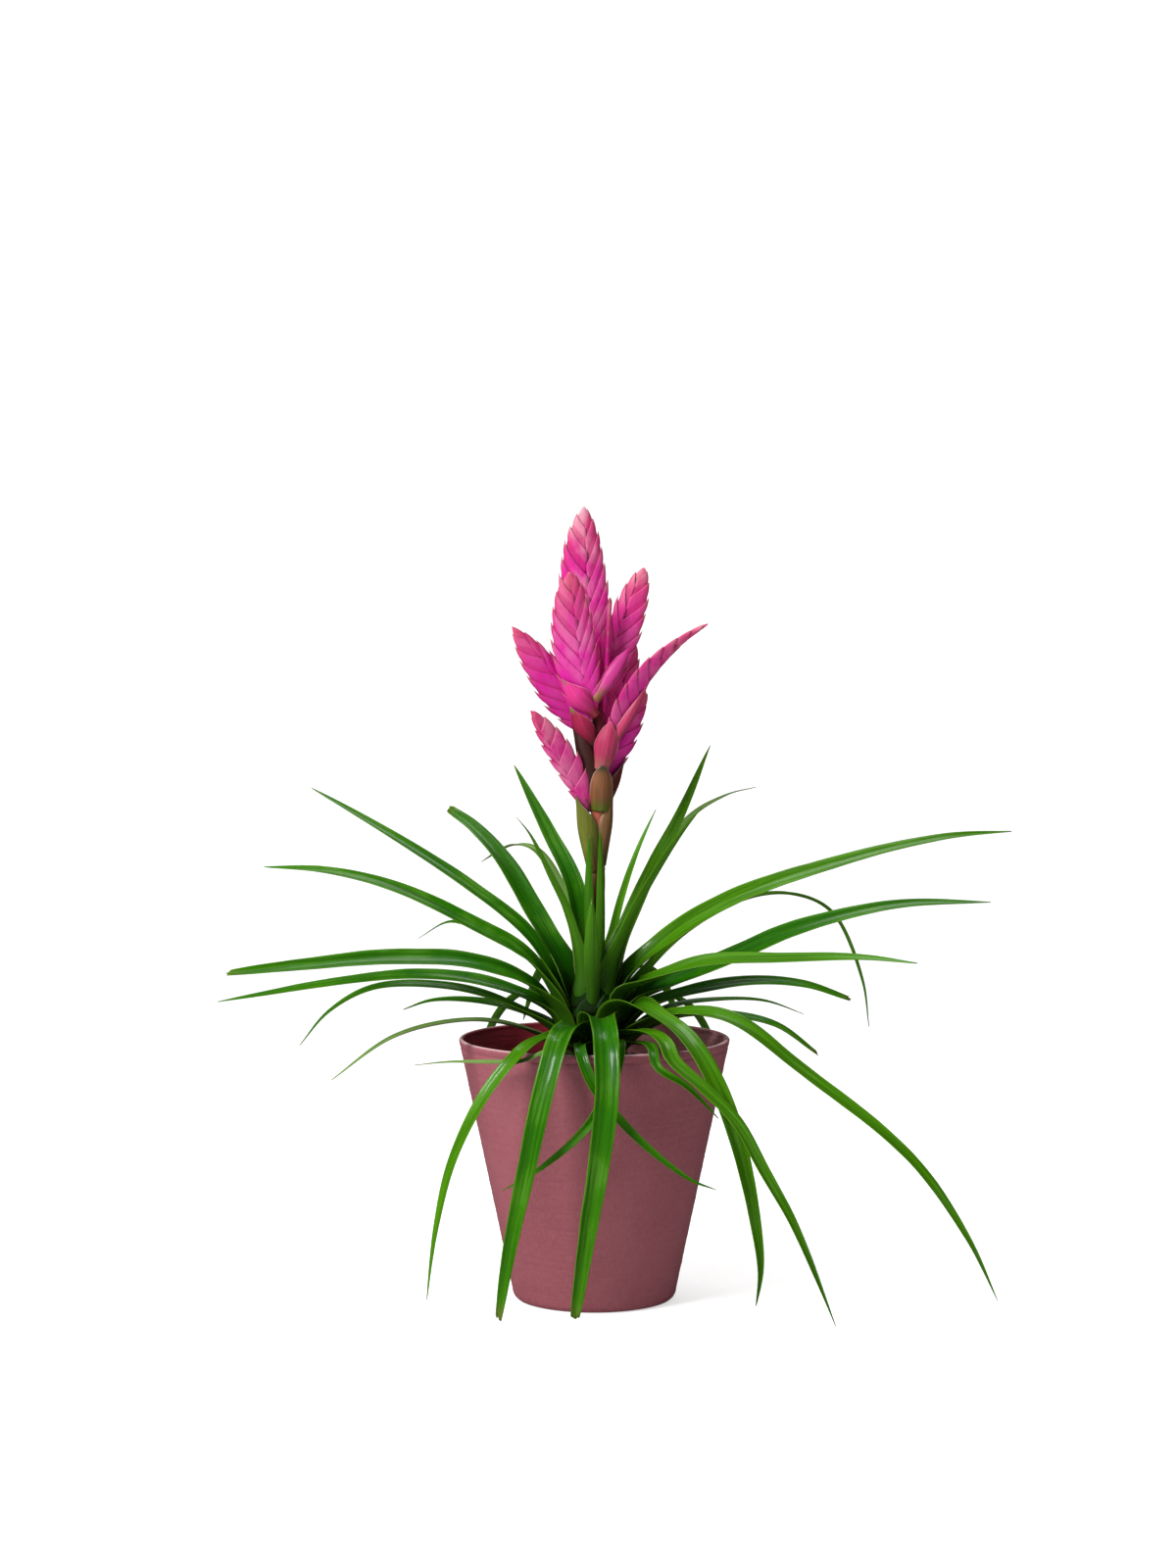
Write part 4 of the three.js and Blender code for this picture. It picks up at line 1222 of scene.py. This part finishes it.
@dataclass
class FlowerStalk:
    """The upright stalk with its clasping sheaths and the bracts under the spikes, one piece.

    Colours are given at heights along the stalk itself.
    """

    route: Route
    sheaths: Sequence[Sheath]
    finish: StemFinish
    radius: float = 5.0
    top_radius: float = 2.8
    sides: int = 24
    rows: int = 90
    skin: float = 0.4
    colours: Sequence[tuple[float, Triple]] = (
        (170.0, (0.012, 0.040, 0.004)),
        (215.0, (0.100, 0.100, 0.012)),
        (245.0, (0.220, 0.100, 0.035)),
        (272.0, (0.200, 0.070, 0.030)),
        (279.0, (0.420, 0.110, 0.060)),
        (290.0, (0.380, 0.090, 0.050)),
        # The near-black maroon here is painted shade, where the stalk runs deep among the feet of the spikes.
        (298.0, (0.120, 0.016, 0.016)),
        (330.0, (0.240, 0.040, 0.055)),
        (358.0, (0.200, 0.020, 0.035)),
    )

    def build(self) -> None:
        """Builds and dresses the stalk with its sheaths."""
        draft = MeshDraft()
        self.add_axis(draft)
        for number, sheath in enumerate(self.sheaths):
            sheath.add_to(draft, self.skin, number)
        draft.make("stalk_and_sheaths", self.finish, "flower_stalk")

    def add_axis(self, draft: MeshDraft) -> None:
        """Adds the stalk itself.

        Args:
            draft: The mesh that it goes into.
        """
        places, tangents, length = spaced(smooth_curve(np.array(self.route)), self.rows)
        turn = around(self.sides)
        share = np.linspace(0.0, 1.0, self.rows)
        rings = np.zeros((self.rows, self.sides, 3))
        for r in range(self.rows):
            across = unit(np.cross(np.array([0.0, 1.0, 0.0]), tangents[r]))
            back = np.cross(tangents[r], across)
            size = mix(self.radius, self.top_radius, share[r] ** 3) * (1 + 0.04 * math.sin(share[r] * 31.0))
            rings[r] = places[r] + size * (np.cos(turn)[:, None] * across + np.sin(turn)[:, None] * back)
        heights = [height for height, _ in self.colours]
        bands = [np.interp(places[:, 2:], heights, [c[k] for _, c in self.colours]) for k in range(3)]
        shape = rings.shape[:2]
        wide = np.abs(turn * self.radius - math.pi * self.radius)
        fibre = triples(shape, wide, (share * length)[:, None], 0.0)
        draft.add_tube(rings, {"skin_colour": triples(shape, *bands), "skin_fibre": fibre})


# Pot and potting mix


@dataclass
class CoverPot:
    """The tapered cover pot, with its rounded rim and the fine groove under it.

    Every place on its outline is a radius, a height, the share of the ripple there, and marks for the rim
    and the inside.
    """

    finish: PotFinish
    height: float = 154.0
    rim_radius: float = 80.0
    taper: float = 12.0
    wall: float = 2.8
    floor: float = 4.0
    foot_radius: float = 44.0
    corner_height: float = 6.0
    inner_corner: float = 4.0
    groove_drop: float = 5.0
    groove_depth: float = 0.35
    groove_half: float = 0.9
    ripple_height: float = 0.16
    hole: float = 0.4
    sides: int = 192
    rows: int = 92

    def outer(self, z: float) -> float:
        """Gives the outer wall's radius at a height."""
        return self.rim_radius - (self.height - z) * math.tan(math.radians(self.taper))

    def inner(self, z: float) -> float:
        """Gives the inner wall's radius at a height."""
        return self.outer(z) - self.wall

    def outside(self) -> list[tuple[float, ...]]:
        """Lists the outline from the foot's middle, round its corner and up to the groove under the rim.

        Returns:
            Places on the outline.
        """
        places = [(self.hole, 0, 0, 0, 0), (self.foot_radius, 0, 0, 0, 0)]
        for turn in np.linspace(0.25, 1.0, 4) * math.pi / 2:
            out = mix(self.foot_radius, self.outer(self.corner_height), math.sin(turn))
            places.append((out, self.corner_height * (1 - math.cos(turn)), 0, 0, 0))
        groove = self.height - self.groove_drop
        for z in np.linspace(self.corner_height + 0.6, groove - self.groove_half, self.rows):
            share = smooth_share(z, 8.0, 14.0) * (1 - smooth_share(z, groove - 5, groove - 2))
            places.append((self.outer(z), z, share, 0, 0))
        for turn in (*np.linspace(0.15, 0.85, 5), 1.0):
            z = groove + self.groove_half * (2 * turn - 1)
            places.append((self.outer(z) - self.groove_depth * math.sin(turn * math.pi), z, 0, 0, 0))
        return places

    def inside(self) -> list[tuple[float, ...]]:
        """Lists the outline from the rim's outer edge, over its crest and down to the floor's middle.

        Returns:
            Places on the outline.
        """
        places = []
        top = self.height - self.wall / 2
        middle = (self.outer(top) + self.inner(top)) / 2
        for turn in np.linspace(-0.1, 1.1, 11):
            out = middle + self.wall / 2 * math.cos(turn * math.pi)
            up = top + self.wall / 2 * math.sin(turn * math.pi)
            # crest: where the rim's painted highlight lies.
            crest = math.exp(-(((turn - 0.42) / 0.2) ** 2))
            places.append((out, up, 0, crest, smooth_share(turn, 0.6, 0.9)))
        for z in np.linspace(self.height - 4, self.floor + self.inner_corner, 26):
            places.append((self.inner(z), z, 0, 0, 1))
        places.append((self.inner(self.floor) - self.inner_corner / 2, self.floor, 0, 0, 1))
        return [*places, (self.hole, self.floor, 0, 0, 1)]

    def build(self) -> None:
        """Builds and dresses the pot."""
        turn = around(self.sides)
        # Painted light: the inside turns paler towards the right, the side that faces the light.
        lit = smooth_share(np.cos(turn), 0.0, 0.5)
        rings, place = [], []
        for out, up, share, rim, inside in [*self.outside(), *self.inside()]:
            spots = [(math.cos(angle), math.sin(angle)) for angle in turn]
            broad = np.array([ripple(x * 1.6, y * 1.6, up * 0.42) for x, y in spots])
            fine = np.array([ripple(x * 4.2, y * 4.2, up * 0.8) for x, y in spots])
            size = out + self.ripple_height * share * (broad + 0.5 * fine)
            x, y = np.array(spots).T
            rings.append(triples(turn.shape, size * x, size * y, up))
            place.append(triples(turn.shape, rim, inside, lit))
        draft = MeshDraft()
        draft.add_tube(np.array(rings), {"pot_place": np.array(place)})
        draft.make("cover_pot", self.finish, "pot")


@dataclass
class PottingMix:
    """The mix: a plug that fills the pot, under a loose layer of bark chips."""

    finish: BarkFinish
    pot: CoverPot
    top: float = 132.0
    relief: float = 1.6
    clear: float = 0.35
    chips: int = 300
    nearest: float = 15.0
    edge: float = 4.0
    chip_size: float = 5.2
    chip_sides: int = 9
    chip_levels: Sequence[Pair] = ((-1.0, 0.72), (-0.6, 0.98), (0.5, 1.0), (1.0, 0.78))
    tilt: float = 15.0
    pitch: float = 13.0
    plug_tone: float = 0.12
    seed: int = 77
    rings: int = 22
    sides: int = 96

    def height(self, x: float, y: float) -> float:
        """Gives the surface's height at a place."""
        wave = math.sin(x * 0.21 + 1) * math.cos(y * 0.19) + 0.5 * math.sin(x * 0.37 - y * 0.31)
        return self.top + self.relief * wave

    def build(self) -> None:
        """Builds and dresses the mix."""
        draft = MeshDraft()
        self.add_plug(draft)
        draw = random.Random(self.seed)
        reach = self.pot.inner(self.top) - self.edge
        for _ in range(self.chips):
            far = mix(self.nearest, reach, math.sqrt(draw.random()))
            self.add_chip(draft, far, draw.uniform(0, math.tau), draw)
        draft.make("bark_mix", self.finish, "potting_mix")

    def add_plug(self, draft: MeshDraft) -> None:
        """Adds the body of the mix, a gap inside the pot.

        Args:
            draft: The mesh that it goes into.
        """
        pot, floor = self.pot, self.pot.floor + self.clear
        rim = pot.inner(self.top) - self.clear
        profile = [(pot.hole, floor), (pot.inner(floor) - pot.inner_corner, floor)]
        profile += [(pot.inner(floor + 5) - self.clear, floor + 5), (rim, self.top - 1.0)]
        profile += [(rim * (1 - k / self.rings) + pot.hole, None) for k in range(self.rings + 1)]
        rings = np.zeros((len(profile), self.sides, 3))
        for r, (out, z) in enumerate(profile):
            for k, angle in enumerate(around(self.sides)):
                x, y = out * math.cos(angle), out * math.sin(angle)
                grit = 0.9 * ripple(x * 0.35, y * 0.35, 1.0)
                rings[r, k] = (x, y, z if z is not None else self.height(x, y) - 1.2 + grit)
        draft.add_tube(rings, {"chip_tone": np.full(rings.shape, self.plug_tone)})

    def add_chip(self, draft: MeshDraft, far: float, bearing: float, draw: random.Random) -> None:
        """Adds one flat, broken-edged piece of bark that lies on the mix.

        Args:
            draft: The mesh that it goes into.
            far: Its distance from the axis.
            bearing: Its bearing in radians.
            draw: The source of its size and turn.
        """
        x, y = far * math.cos(bearing), far * math.sin(bearing)
        size = self.chip_size * draw.uniform(0.45, 1.25)
        long, wide, thick = (size * draw.uniform(*span) for span in ((0.9, 1.5), (0.5, 0.8), (0.22, 0.4)))
        turn = around(self.chip_sides)

        def each(low: float, high: float) -> np.ndarray:
            """Draws a number for each side of the chip."""
            return np.array([draw.uniform(low, high) for _ in range(self.chip_sides)])

        ragged = each(0.75, 1.15)
        rings = []
        for level, inset in self.chip_levels:
            out = ragged * inset * each(0.93, 1.07)
            up = (level + each(-0.12, 0.12)) * thick
            rings.append(triples(turn.shape, np.cos(turn) * long * out, np.sin(turn) * wide * out, up))
        spin, tilt = draw.uniform(0, math.tau), math.radians(draw.gauss(0, self.tilt))
        pitch = math.radians(draw.gauss(0, self.pitch))
        leaning = Matrix.Rotation(pitch, 3, "Y") @ Matrix.Rotation(tilt, 3, "X")
        placed = np.array(rings) @ np.array(Matrix.Rotation(spin, 3, "Z") @ leaning).T
        placed = placed + np.array([x, y, self.height(x, y) + draw.uniform(-0.4, 1.2)])
        draft.add_tube(placed, {"chip_tone": np.full(placed.shape, draw.uniform(0.25, 1.0))})


# Studio


@dataclass
class Studio:
    """Pale floor, soft lights and the camera. Floor and light sizes and places are in metres."""

    camera_place: Triple = (-3.75, -1733.0, 382.0)
    camera_pitch: float = 87.4
    lens: float = 67.84
    floor_half: float = 3.2
    backdrop_y: float = 1.5
    backdrop_bend: float = 0.7
    floor_colour: Triple = (0.86, 0.86, 0.86)
    floor_lift: float = 0.6
    world_light: float = 0.21
    world_sheen: float = 0.04
    lights_look_at: Triple = (0, 0, 0.22)
    lights: Sequence[tuple[str, Triple, float, float]] = (
        ("key", (-1.25, -1.15, 1.45), 0.8, 48.0),
        ("top", (0.25, 0.35, 1.6), 0.7, 8.0),
        ("fill", (1.4, -1.2, 0.6), 1.2, 0.8),
    )

    def build(self) -> None:
        """Builds the floor, the world, the lights and the camera."""
        self.add_floor()
        self.set_world()
        for light in self.lights:
            self.add_light(*light)
        self.add_camera()

    def add_floor(self) -> None:
        """Adds a pale floor that sweeps up into a backdrop."""
        half, back, bend = self.floor_half, self.backdrop_y, self.backdrop_bend
        turns = np.linspace(0.1, 1.0, 12) * math.pi / 2
        curve = [(back + bend * math.sin(turn), bend * (1 - math.cos(turn))) for turn in turns]
        profile = [(-half, 0.0), (back, 0.0), *curve, (back + bend, half)]
        points = [(x, y, z) for y, z in profile for x in (-half, half)]
        faces = [(k, k + 1, k + 3, k + 2) for k in range(0, 2 * len(profile) - 2, 2)]
        mesh = bpy.data.meshes.new("floor_sweep")
        mesh.from_pydata(points, [], faces)
        mesh.polygons.foreach_set("use_smooth", [True] * len(mesh.polygons))
        material = bpy.data.materials.new("pale_floor")
        desk = SkinDesk(material)
        desk.plain(Base_Color=(*self.floor_colour, 1.0), Roughness=0.9, Emission_Color=(1.0, 1.0, 1.0, 1.0))
        seen = desk.node("ShaderNodeLightPath").outputs["Is Camera Ray"]
        desk.feed(desk.shader.inputs["Emission Strength"], desk.maths("MULTIPLY", seen, self.floor_lift))
        mesh.materials.append(material)
        floor = bpy.data.objects.new("floor_sweep", mesh)
        floor.visible_glossy = False
        bpy.context.collection.objects.link(floor)
        log.info("floor_sweep: stage")

    def set_world(self) -> None:
        """Gives an even pale surround: white to the eye, softer as light and in reflections."""
        world = bpy.data.worlds.new("studio")
        world.use_nodes = True
        bpy.context.scene.world = world
        bpy.context.scene.view_settings.view_transform = "Standard"
        desk = ShaderDesk(world.node_tree)
        surround = world.node_tree.nodes["Background"]
        surround.inputs["Color"].default_value = (1.0, 1.0, 1.0, 1.0)
        path = desk.node("ShaderNodeLightPath").outputs
        strength = desk.maths("MULTIPLY_ADD", path["Is Camera Ray"], 1.0 - self.world_light, self.world_light)
        mirrored = desk.maths("MULTIPLY", path["Is Glossy Ray"], 1.0 - self.world_sheen)
        dimmed = desk.maths("MULTIPLY", strength, desk.maths("SUBTRACT", 1.0, mirrored))
        desk.feed(surround.inputs["Strength"], dimmed)

    def add_light(self, name: str, place: Triple, size: float, power: float) -> None:
        """Adds a soft square light that looks at the plant's middle.

        Args:
            name: Its name.
            place: Where it stands.
            size: Its side.
            power: Its power in watts.
        """
        lamp = bpy.data.lights.new(name, "AREA")
        lamp.size, lamp.energy = size, power
        holder = bpy.data.objects.new(name, lamp)
        holder.location = place
        way = Vector(self.lights_look_at) - Vector(place)
        holder.rotation_euler = way.to_track_quat("-Z", "Y").to_euler()
        bpy.context.collection.objects.link(holder)

    def add_camera(self) -> None:
        """Adds the camera, level with the flowers and tilted slightly down."""
        eye = bpy.data.cameras.new("camera")
        eye.lens = self.lens
        holder = bpy.data.objects.new("camera", eye)
        holder.location = Vector(self.camera_place) * MM
        holder.rotation_euler = (math.radians(self.camera_pitch), 0.0, 0.0)
        bpy.context.collection.objects.link(holder)
        bpy.context.scene.camera = holder


# Sizes and places of this plant's parts

DEEP, MID, BRIGHT, DULL = LeafTone
LEFT_LEAVES = (
    Leaf(172, 170, 12, -35, 0, MID, ((39, 213), (74, 242), (121, 272), (170, 300))),
    Leaf(-174, 165, 13, -38, 0, MID, ((38, 200), (73, 222), (119, 244), (159, 254), (193, 256))),
    Leaf(142, 173.5, 14, -25, 6, DEEP, ((23, 194), (46, 226), (68, 254), (92, 274), (113, 285))),
    Leaf(128, 186, 14, -10, 0, MID, ((11, 204), (20, 242), (45, 273), (79, 312))),
    Leaf(-142, 178, 9, 0, 0, BRIGHT, ((11, 196), (19, 226), (34, 253), (47, 275), (57, 286))),
    Leaf(116, 180, 8, 0, 0, DULL, ((19, 202), (33, 223), (55, 246), (80, 259), (113, 261), (164, 247))),
    Leaf(152, 163, 7, -25, 0, MID, ((27, 187), (51, 202), (71, 211), (98, 218), (121, 207))),
    Leaf(-160, 158, 14, -40, 4, MID, ((24, 170), (41, 187), (77, 201), (124, 205), (175, 203), (220, 200))),
    Leaf(178, 152.5, 12, -30, 0, DEEP, ((27, 169), (62, 185), (102, 190), (151, 186), (223, 174))),
    Leaf(-168, 147, 10, -20, 0, DEEP, ((27, 160), (62, 179), (97, 187), (132, 186), (157, 173), (174, 154))),
    Leaf(163, 143, 9, -20, 0, DEEP, ((27, 159), (50, 169), (77, 173), (102, 172), (120, 166))),
    Leaf(-152, 141, 8, -10, 0, DULL, ((30, 154), (56, 165), (87, 169), (130, 162), (168, 140))),
)
FRONT_LEAVES = (
    Leaf(
        -108, 139, 5.5, 0, 0, DULL,
        ((36, 150), (64, 156.6), (81, 156.6, -1), (86, 150, -16.5), (87, 149.5, -28.5), (92.5, 149, -58),
         (96, 147, -76)),
    ),
    Leaf(
        -118, 147, 10, 0, 0, BRIGHT,
        ((34, 158), (62, 160), (88, 156), (104, 134, -13), (113, 98, -29), (116, 58, -39), (117, 16, -45)),
    ),
    Leaf(
        -104, 152, 14, 0, 4, MID,
        ((34, 163), (60, 167), (84, 162), (98, 134, -5), (104, 88, -14), (107, 48, -22), (106, 8, -29)),
    ),
    Leaf(
        -86, 157, 15, 0, 5, MID,
        ((34, 168), (62, 171), (84, 164), (98, 138), (102, 103, -4), (101, 58, -11), (97, 9, -18)),
    ),
    Leaf(
        -80, 146, 7.5, 0, 0, MID,
        ((34, 155), (64, 159.5), (80, 160), (87, 145, -4), (86, 118, -17), (80, 92, -44), (74, 78, -66)),
    ),
    Leaf(
        -96, 143.2, 7, 0, 0, MID,
        ((34, 154), (64, 158), (80.5, 158), (90, 140, 8), (89, 120, 23), (87, 102, 41), (82, 85, 63),
         (78, 79, 77)),
    ),
    Leaf(
        -50, 162, 16, 0, 0, BRIGHT,
        ((24, 171), (36, 175.5), (56, 171), (80, 161.5), (105, 138), (119, 111, 2), (128, 75, 6),
         (134, 37, 8), (133, 16, 6)),
    ),
    Leaf(
        -62, 149.5, 11, 0, 0, BRIGHT,
        ((36, 158.5), (66, 163.5), (84, 159.5), (93, 151), (110, 136.5, 11), (125, 120, 22), (138, 91, 34),
         (148, 64, 46), (162, 8, 65)),
    ),
    Leaf(
        -65, 140, 8, 0, 0, DEEP,
        ((36, 153), (64, 158), (81, 157.5, -2), (92, 148, -4), (102, 138, 9), (110, 120, 25)),
    ),
)
RIGHT_LEAVES = (
    Leaf(-22, 153, 13, 20, 0, BRIGHT, ((45, 168), (82, 169), (129, 140), (193, 94), (225, 53), (244, 17))),
    Leaf(-3, 145.5, 10, 15, 4, MID, ((28, 156.5), (48, 166), (72, 168), (106, 162), (131, 145))),
    Leaf(20, 151, 7, 15, 0, DEEP, ((46, 169), (77, 173), (109, 171), (135, 162))),
    Leaf(8, 157.5, 12, 30, 4, MID, ((31, 170), (55, 179), (92, 185), (126, 183), (154, 174))),
    Leaf(
        -18, 169, 13, 30, 0, BRIGHT,
        ((18, 180), (32, 187.5), (66, 200), (115, 204), (161, 206), (193, 204)),
    ),
    Leaf(5, 161, 15, 35, 0, MID, ((25, 174), (46, 185), (83, 201), (124, 218), (183, 231), (237, 232))),
    Leaf(16, 172, 14, 35, 0, BRIGHT, ((20, 187), (44, 210), (85, 233), (149, 253), (219, 268), (266, 271))),
    Leaf(
        36, 166, 8, 0, 0, BRIGHT,
        ((39, 191), (68, 212), (114, 230), (153, 231), (185, 217), (209, 174), (215, 144)),
    ),
    Leaf(54, 175.5, 7, 0, 0, DULL, ((27, 203), (44, 226), (64, 251), (96, 277), (140, 291), (175, 295))),
    Leaf(42, 183, 12, 10, 0, BRIGHT, ((15, 195), (30, 224), (50, 255), (71, 284), (95, 324))),
    Leaf(-45, 178, 9, 0, 0, BRIGHT, ((14, 195), (26, 219), (45, 247), (68, 275), (86, 293))),
    Leaf(69, 179.2, 5.5, 0, 0, BRIGHT, ((18, 195), (27, 208), (46, 233), (73, 259), (107, 283))),
)
HEART_LEAVES = (
    Leaf(-94, 174.5, 12, 0, 0, BRIGHT, ((16, 186), (21, 204), (24, 224), (22, 238)), 0.55),
    Leaf(-107, 187.5, 7.5, 0, 0, MID, ((10.5, 204), (11.5, 243), (10.5, 275)), 0.7),
    Leaf(-70, 184.5, 7, 0, 0, BRIGHT, ((10.5, 204), (11, 243), (10, 278)), 0.7),
)
BACK_LEAVES = (
    Leaf(92, 168, 12, 0, 0, MID, ((20, 186), (40, 203), (80, 213), (125, 207), (170, 184))),
    Leaf(106, 162, 11, 0, 0, DEEP, ((22, 177), (45, 188), (85, 191), (130, 175), (165, 144))),
    Leaf(70, 160, 11, 0, 0, MID, ((22, 174), (45, 184), (85, 187), (130, 170), (165, 136))),
    Leaf(122, 153, 10, 0, 0, DEEP, ((22, 163), (50, 171), (85, 171), (120, 148), (140, 106))),
    Leaf(54, 151, 10, 0, 0, MID, ((22, 161), (50, 168), (85, 169), (118, 146), (136, 104))),
    Leaf(90, 146, 10, 0, 0, MID, ((22, 155), (50, 162), (85, 164), (115, 136), (128, 90))),
)
LEAVES = (*LEFT_LEAVES, *FRONT_LEAVES, *RIGHT_LEAVES, *HEART_LEAVES, *BACK_LEAVES)
# The last values of a spike set its rose, its painted sheen and its painted shade.
SPIKES = (
    Spike((0, 5, 355), (-6, 5, 464), 30, -90, (-3, 0), 0.2, (1.2, 1.9), (0.42, 0.72), sheen_strength=0.5),
    Spike(
        (-2.5, -3, 334), (-14, -25, 425), 25, -98, (-2.8, 0), 0.24, (1.1, 1.9), (0.55, 0.65),
        rose=0.05, sheen_strength=0.25,
    ),
    Spike(
        (2.5, 2, 348), (28.5, -1, 428), 20, -95, (-0.3, 0), -0.25, (1.6, 2), (0.5, 0.6),
        rose=0.15, sheen_strength=0.2,
    ),
    Spike((5.5, -2.6, 345), (9, -12.6, 411), 8, 3, taper=(0.4, 0.7), rose=0.05, sheen_strength=0.2, gloom=0.1),
    Spike(
        (-1.5, 3, 331), (-47, -2, 394), 22, -95, (0, 0), 0.4, (1.8, 2.2), (0.4, 0.85), (1.4, 1.0),
        gloom=0.3,
    ),
    Spike(
        (-2, -2, 287), (-36, -16, 345), 14.2, -80, (2.5, 0), -0.55, (0.8, 1.3), (0.5, 0.7), (1.3, 1.8),
        rose=0.4, sheen_strength=0.4,
    ),
    Spike(
        (5, -3, 313), (65, -34, 396), 14, -50, (-7, 11), 0.6, (1.5, 2.2), (0.32, 1.0), (1.6, 0.4),
        rose=0.25, sheen_strength=0.3,
    ),
    Spike((5, 3.5, 330), (23, 14, 384), 17, -80, (0, 0), 0.1, (1.3, 1.8), (0.5, 0.65), rose=0.3, gloom=0.1),
    Spike((5, 3, 303), (29.5, 18, 356), 14, -65, (0, 0), -0.2, (1.3, 1.8), (0.5, 0.6), (1, 1.5), gloom=0.15),
)
STALK_ROUTE = (
    (0.5, 0, 170), (0.5, 0, 203), (1, 0, 240), (1.5, 0, 268),
    (3, 0, 298), (3, 0.8, 323), (1.8, 2.6, 343), (0, 5, 358),
)
CLASPING = (165, 120, 60)
OPENING = (150, 120, 50)
SLIM = (140, 100, 45)
SHEATHS = (
    Sheath((0.5, 0, 200), (0.6, 0, 246), 160, (4.9, 5.2, 5.2), (4.9, 5.2, 3.0), CLASPING, Shade.LEAF_GREEN),
    Sheath((0.7, 0, 222), (1.2, 0, 268), -30, (5.0, 5.4, 5.2), (5.0, 5.4, 3.0), CLASPING, Shade.BROWN),
    Sheath((1.2, 0, 252), (-8, -5, 299), 208, (5.4, 6.2, 4), (5.4, 6.2, 3), (168, 140, 45), Shade.OLIVE),
    Sheath((1.9, 0, 256), (8.5, 0, 300), -12, (5.0, 5.2, 3), (5.2, 5.4, 3), (168, 118, 45), Shade.BROWN),
    Sheath((3.4, -1, 288), (4.4, -4, 315), -86, (5.4, 7, 5), (5.6, 7, 5.4), (100, 74, 56), Shade.SALMON, 1.0),
    Sheath((4, 1, 289), (15, 7, 320), 28, (4.2, 5.4, 4.0), (4.2, 5, 3), OPENING, Shade.SHADOWED_RUSSET),
    Sheath(
        (2.8, 0, 290), (-9.5, 1, 342), 200, (4.6, 6, 4.4), (4.8, 5.8, 4.6), (172, 172, 90), Shade.SHADOWED_MAROON, 1.0
    ),
    Sheath((0.5, -3, 327), (-13.3, -8, 349.6), 222, (3, 5.5, 2), (3, 6.8, 2.5), SLIM, Shade.CRIMSON),
    Sheath(
        (1, -5, 343.5), (-18.6, -12, 366), 232, (3, 6.5, 2), (3, 7.6, 2.5), (140, 96, 45), Shade.MAGENTA, 0.9
    ),
    Sheath(
        (4, -3, 312), (10.5, -8.5, 341), -100, (4, 6.6, 4), (4.4, 7.6, 4.4), (120, 72, 46), Shade.ROSE, 1.0
    ),
    Sheath(
        (5.5, -4, 320), (31.5, -13, 364), -55, (3, 4.6, 1.5), (3, 3.6, 1.2), (130, 74, 40), Shade.ROSE, 1.0
    ),
    Sheath((0, -9, 352.5), (20.5, -6, 383), -88, (2.5, 5, 3), (2.8, 5.2, 2.5), (140, 100, 50), Shade.LILAC),
    Sheath((5, 3, 326), (17, 10, 352), 20, (3.6, 6, 4.5), (3.6, 5, 3), OPENING, Shade.CRIMSON),
)
GREEN_LEAF = LeafFinish(
    "strap_leaf_skin",
    "leaf_green",
    # base: the painted shade at the blades' roots
    base=(0.004, 0.040, 0.0004),
    deep=(0.012, 0.115, 0.0003),
    mid=(0.018, 0.150, 0.0004),
    bright=(0.070, 0.250, 0.0015),
    margin=(0.17, 0.34, 0.010),
    underside=(0.050, 0.15, 0.008),
    least_rough=0.25,
    coat=0.3,
)
GREY_LEAF = LeafFinish(
    "grey_leaf_skin",
    "leaf_grey_green",
    # base: the painted shade at the blades' roots
    base=(0.02, 0.05, 0.008),
    deep=(0.06, 0.16, 0.024),
    mid=(0.12, 0.25, 0.045),
    bright=(0.22, 0.36, 0.09),
    margin=(0.30, 0.34, 0.13),
    underside=(0.14, 0.20, 0.075),
    least_rough=0.44,
    coat=0.0,
)
STALK_FINISH = StemFinish(
    "stalk_and_sheath_skin",
    "stalk_bract",
    least_rough=0.27,
    across=1.6,
    along=0.06,
    streaked=0.3,
    specular=0.3,
    dark=(0.020, 0.022, 0.006),
)
CROWN_FINISH = StemFinish(
    "crown_skin",
    "crown_green",
    least_rough=0.45,
    across=1.0,
    along=0.05,
    streaked=0.45,
    specular=0.05,
    dark=(0.003, 0.010, 0.0008),
)


def main() -> None:
    """Builds the pot, the mix, the plant from its crown up, and the studio, and notes the sizes."""
    logging.basicConfig(level=logging.INFO, format="%(message)s")
    pot = CoverPot(PotFinish("matte_rose_pot", "pot_rose"))
    pot.build()
    PottingMix(BarkFinish("bark_and_fibre", "bark_mix"), pot).build()
    crown = Crown(CROWN_FINISH, LEAVES)
    crown.build()
    Foliage(LEAVES, crown, GREEN_LEAF, GREY_LEAF).build()
    FlowerSpikes(SPIKES, BractFinish("spike_bract_skin", "spike_pink")).build()
    FlowerStalk(STALK_ROUTE, SHEATHS, STALK_FINISH).build()
    Studio().build()
    log.info("all pieces are built")


if __name__ == "__main__":
    main()
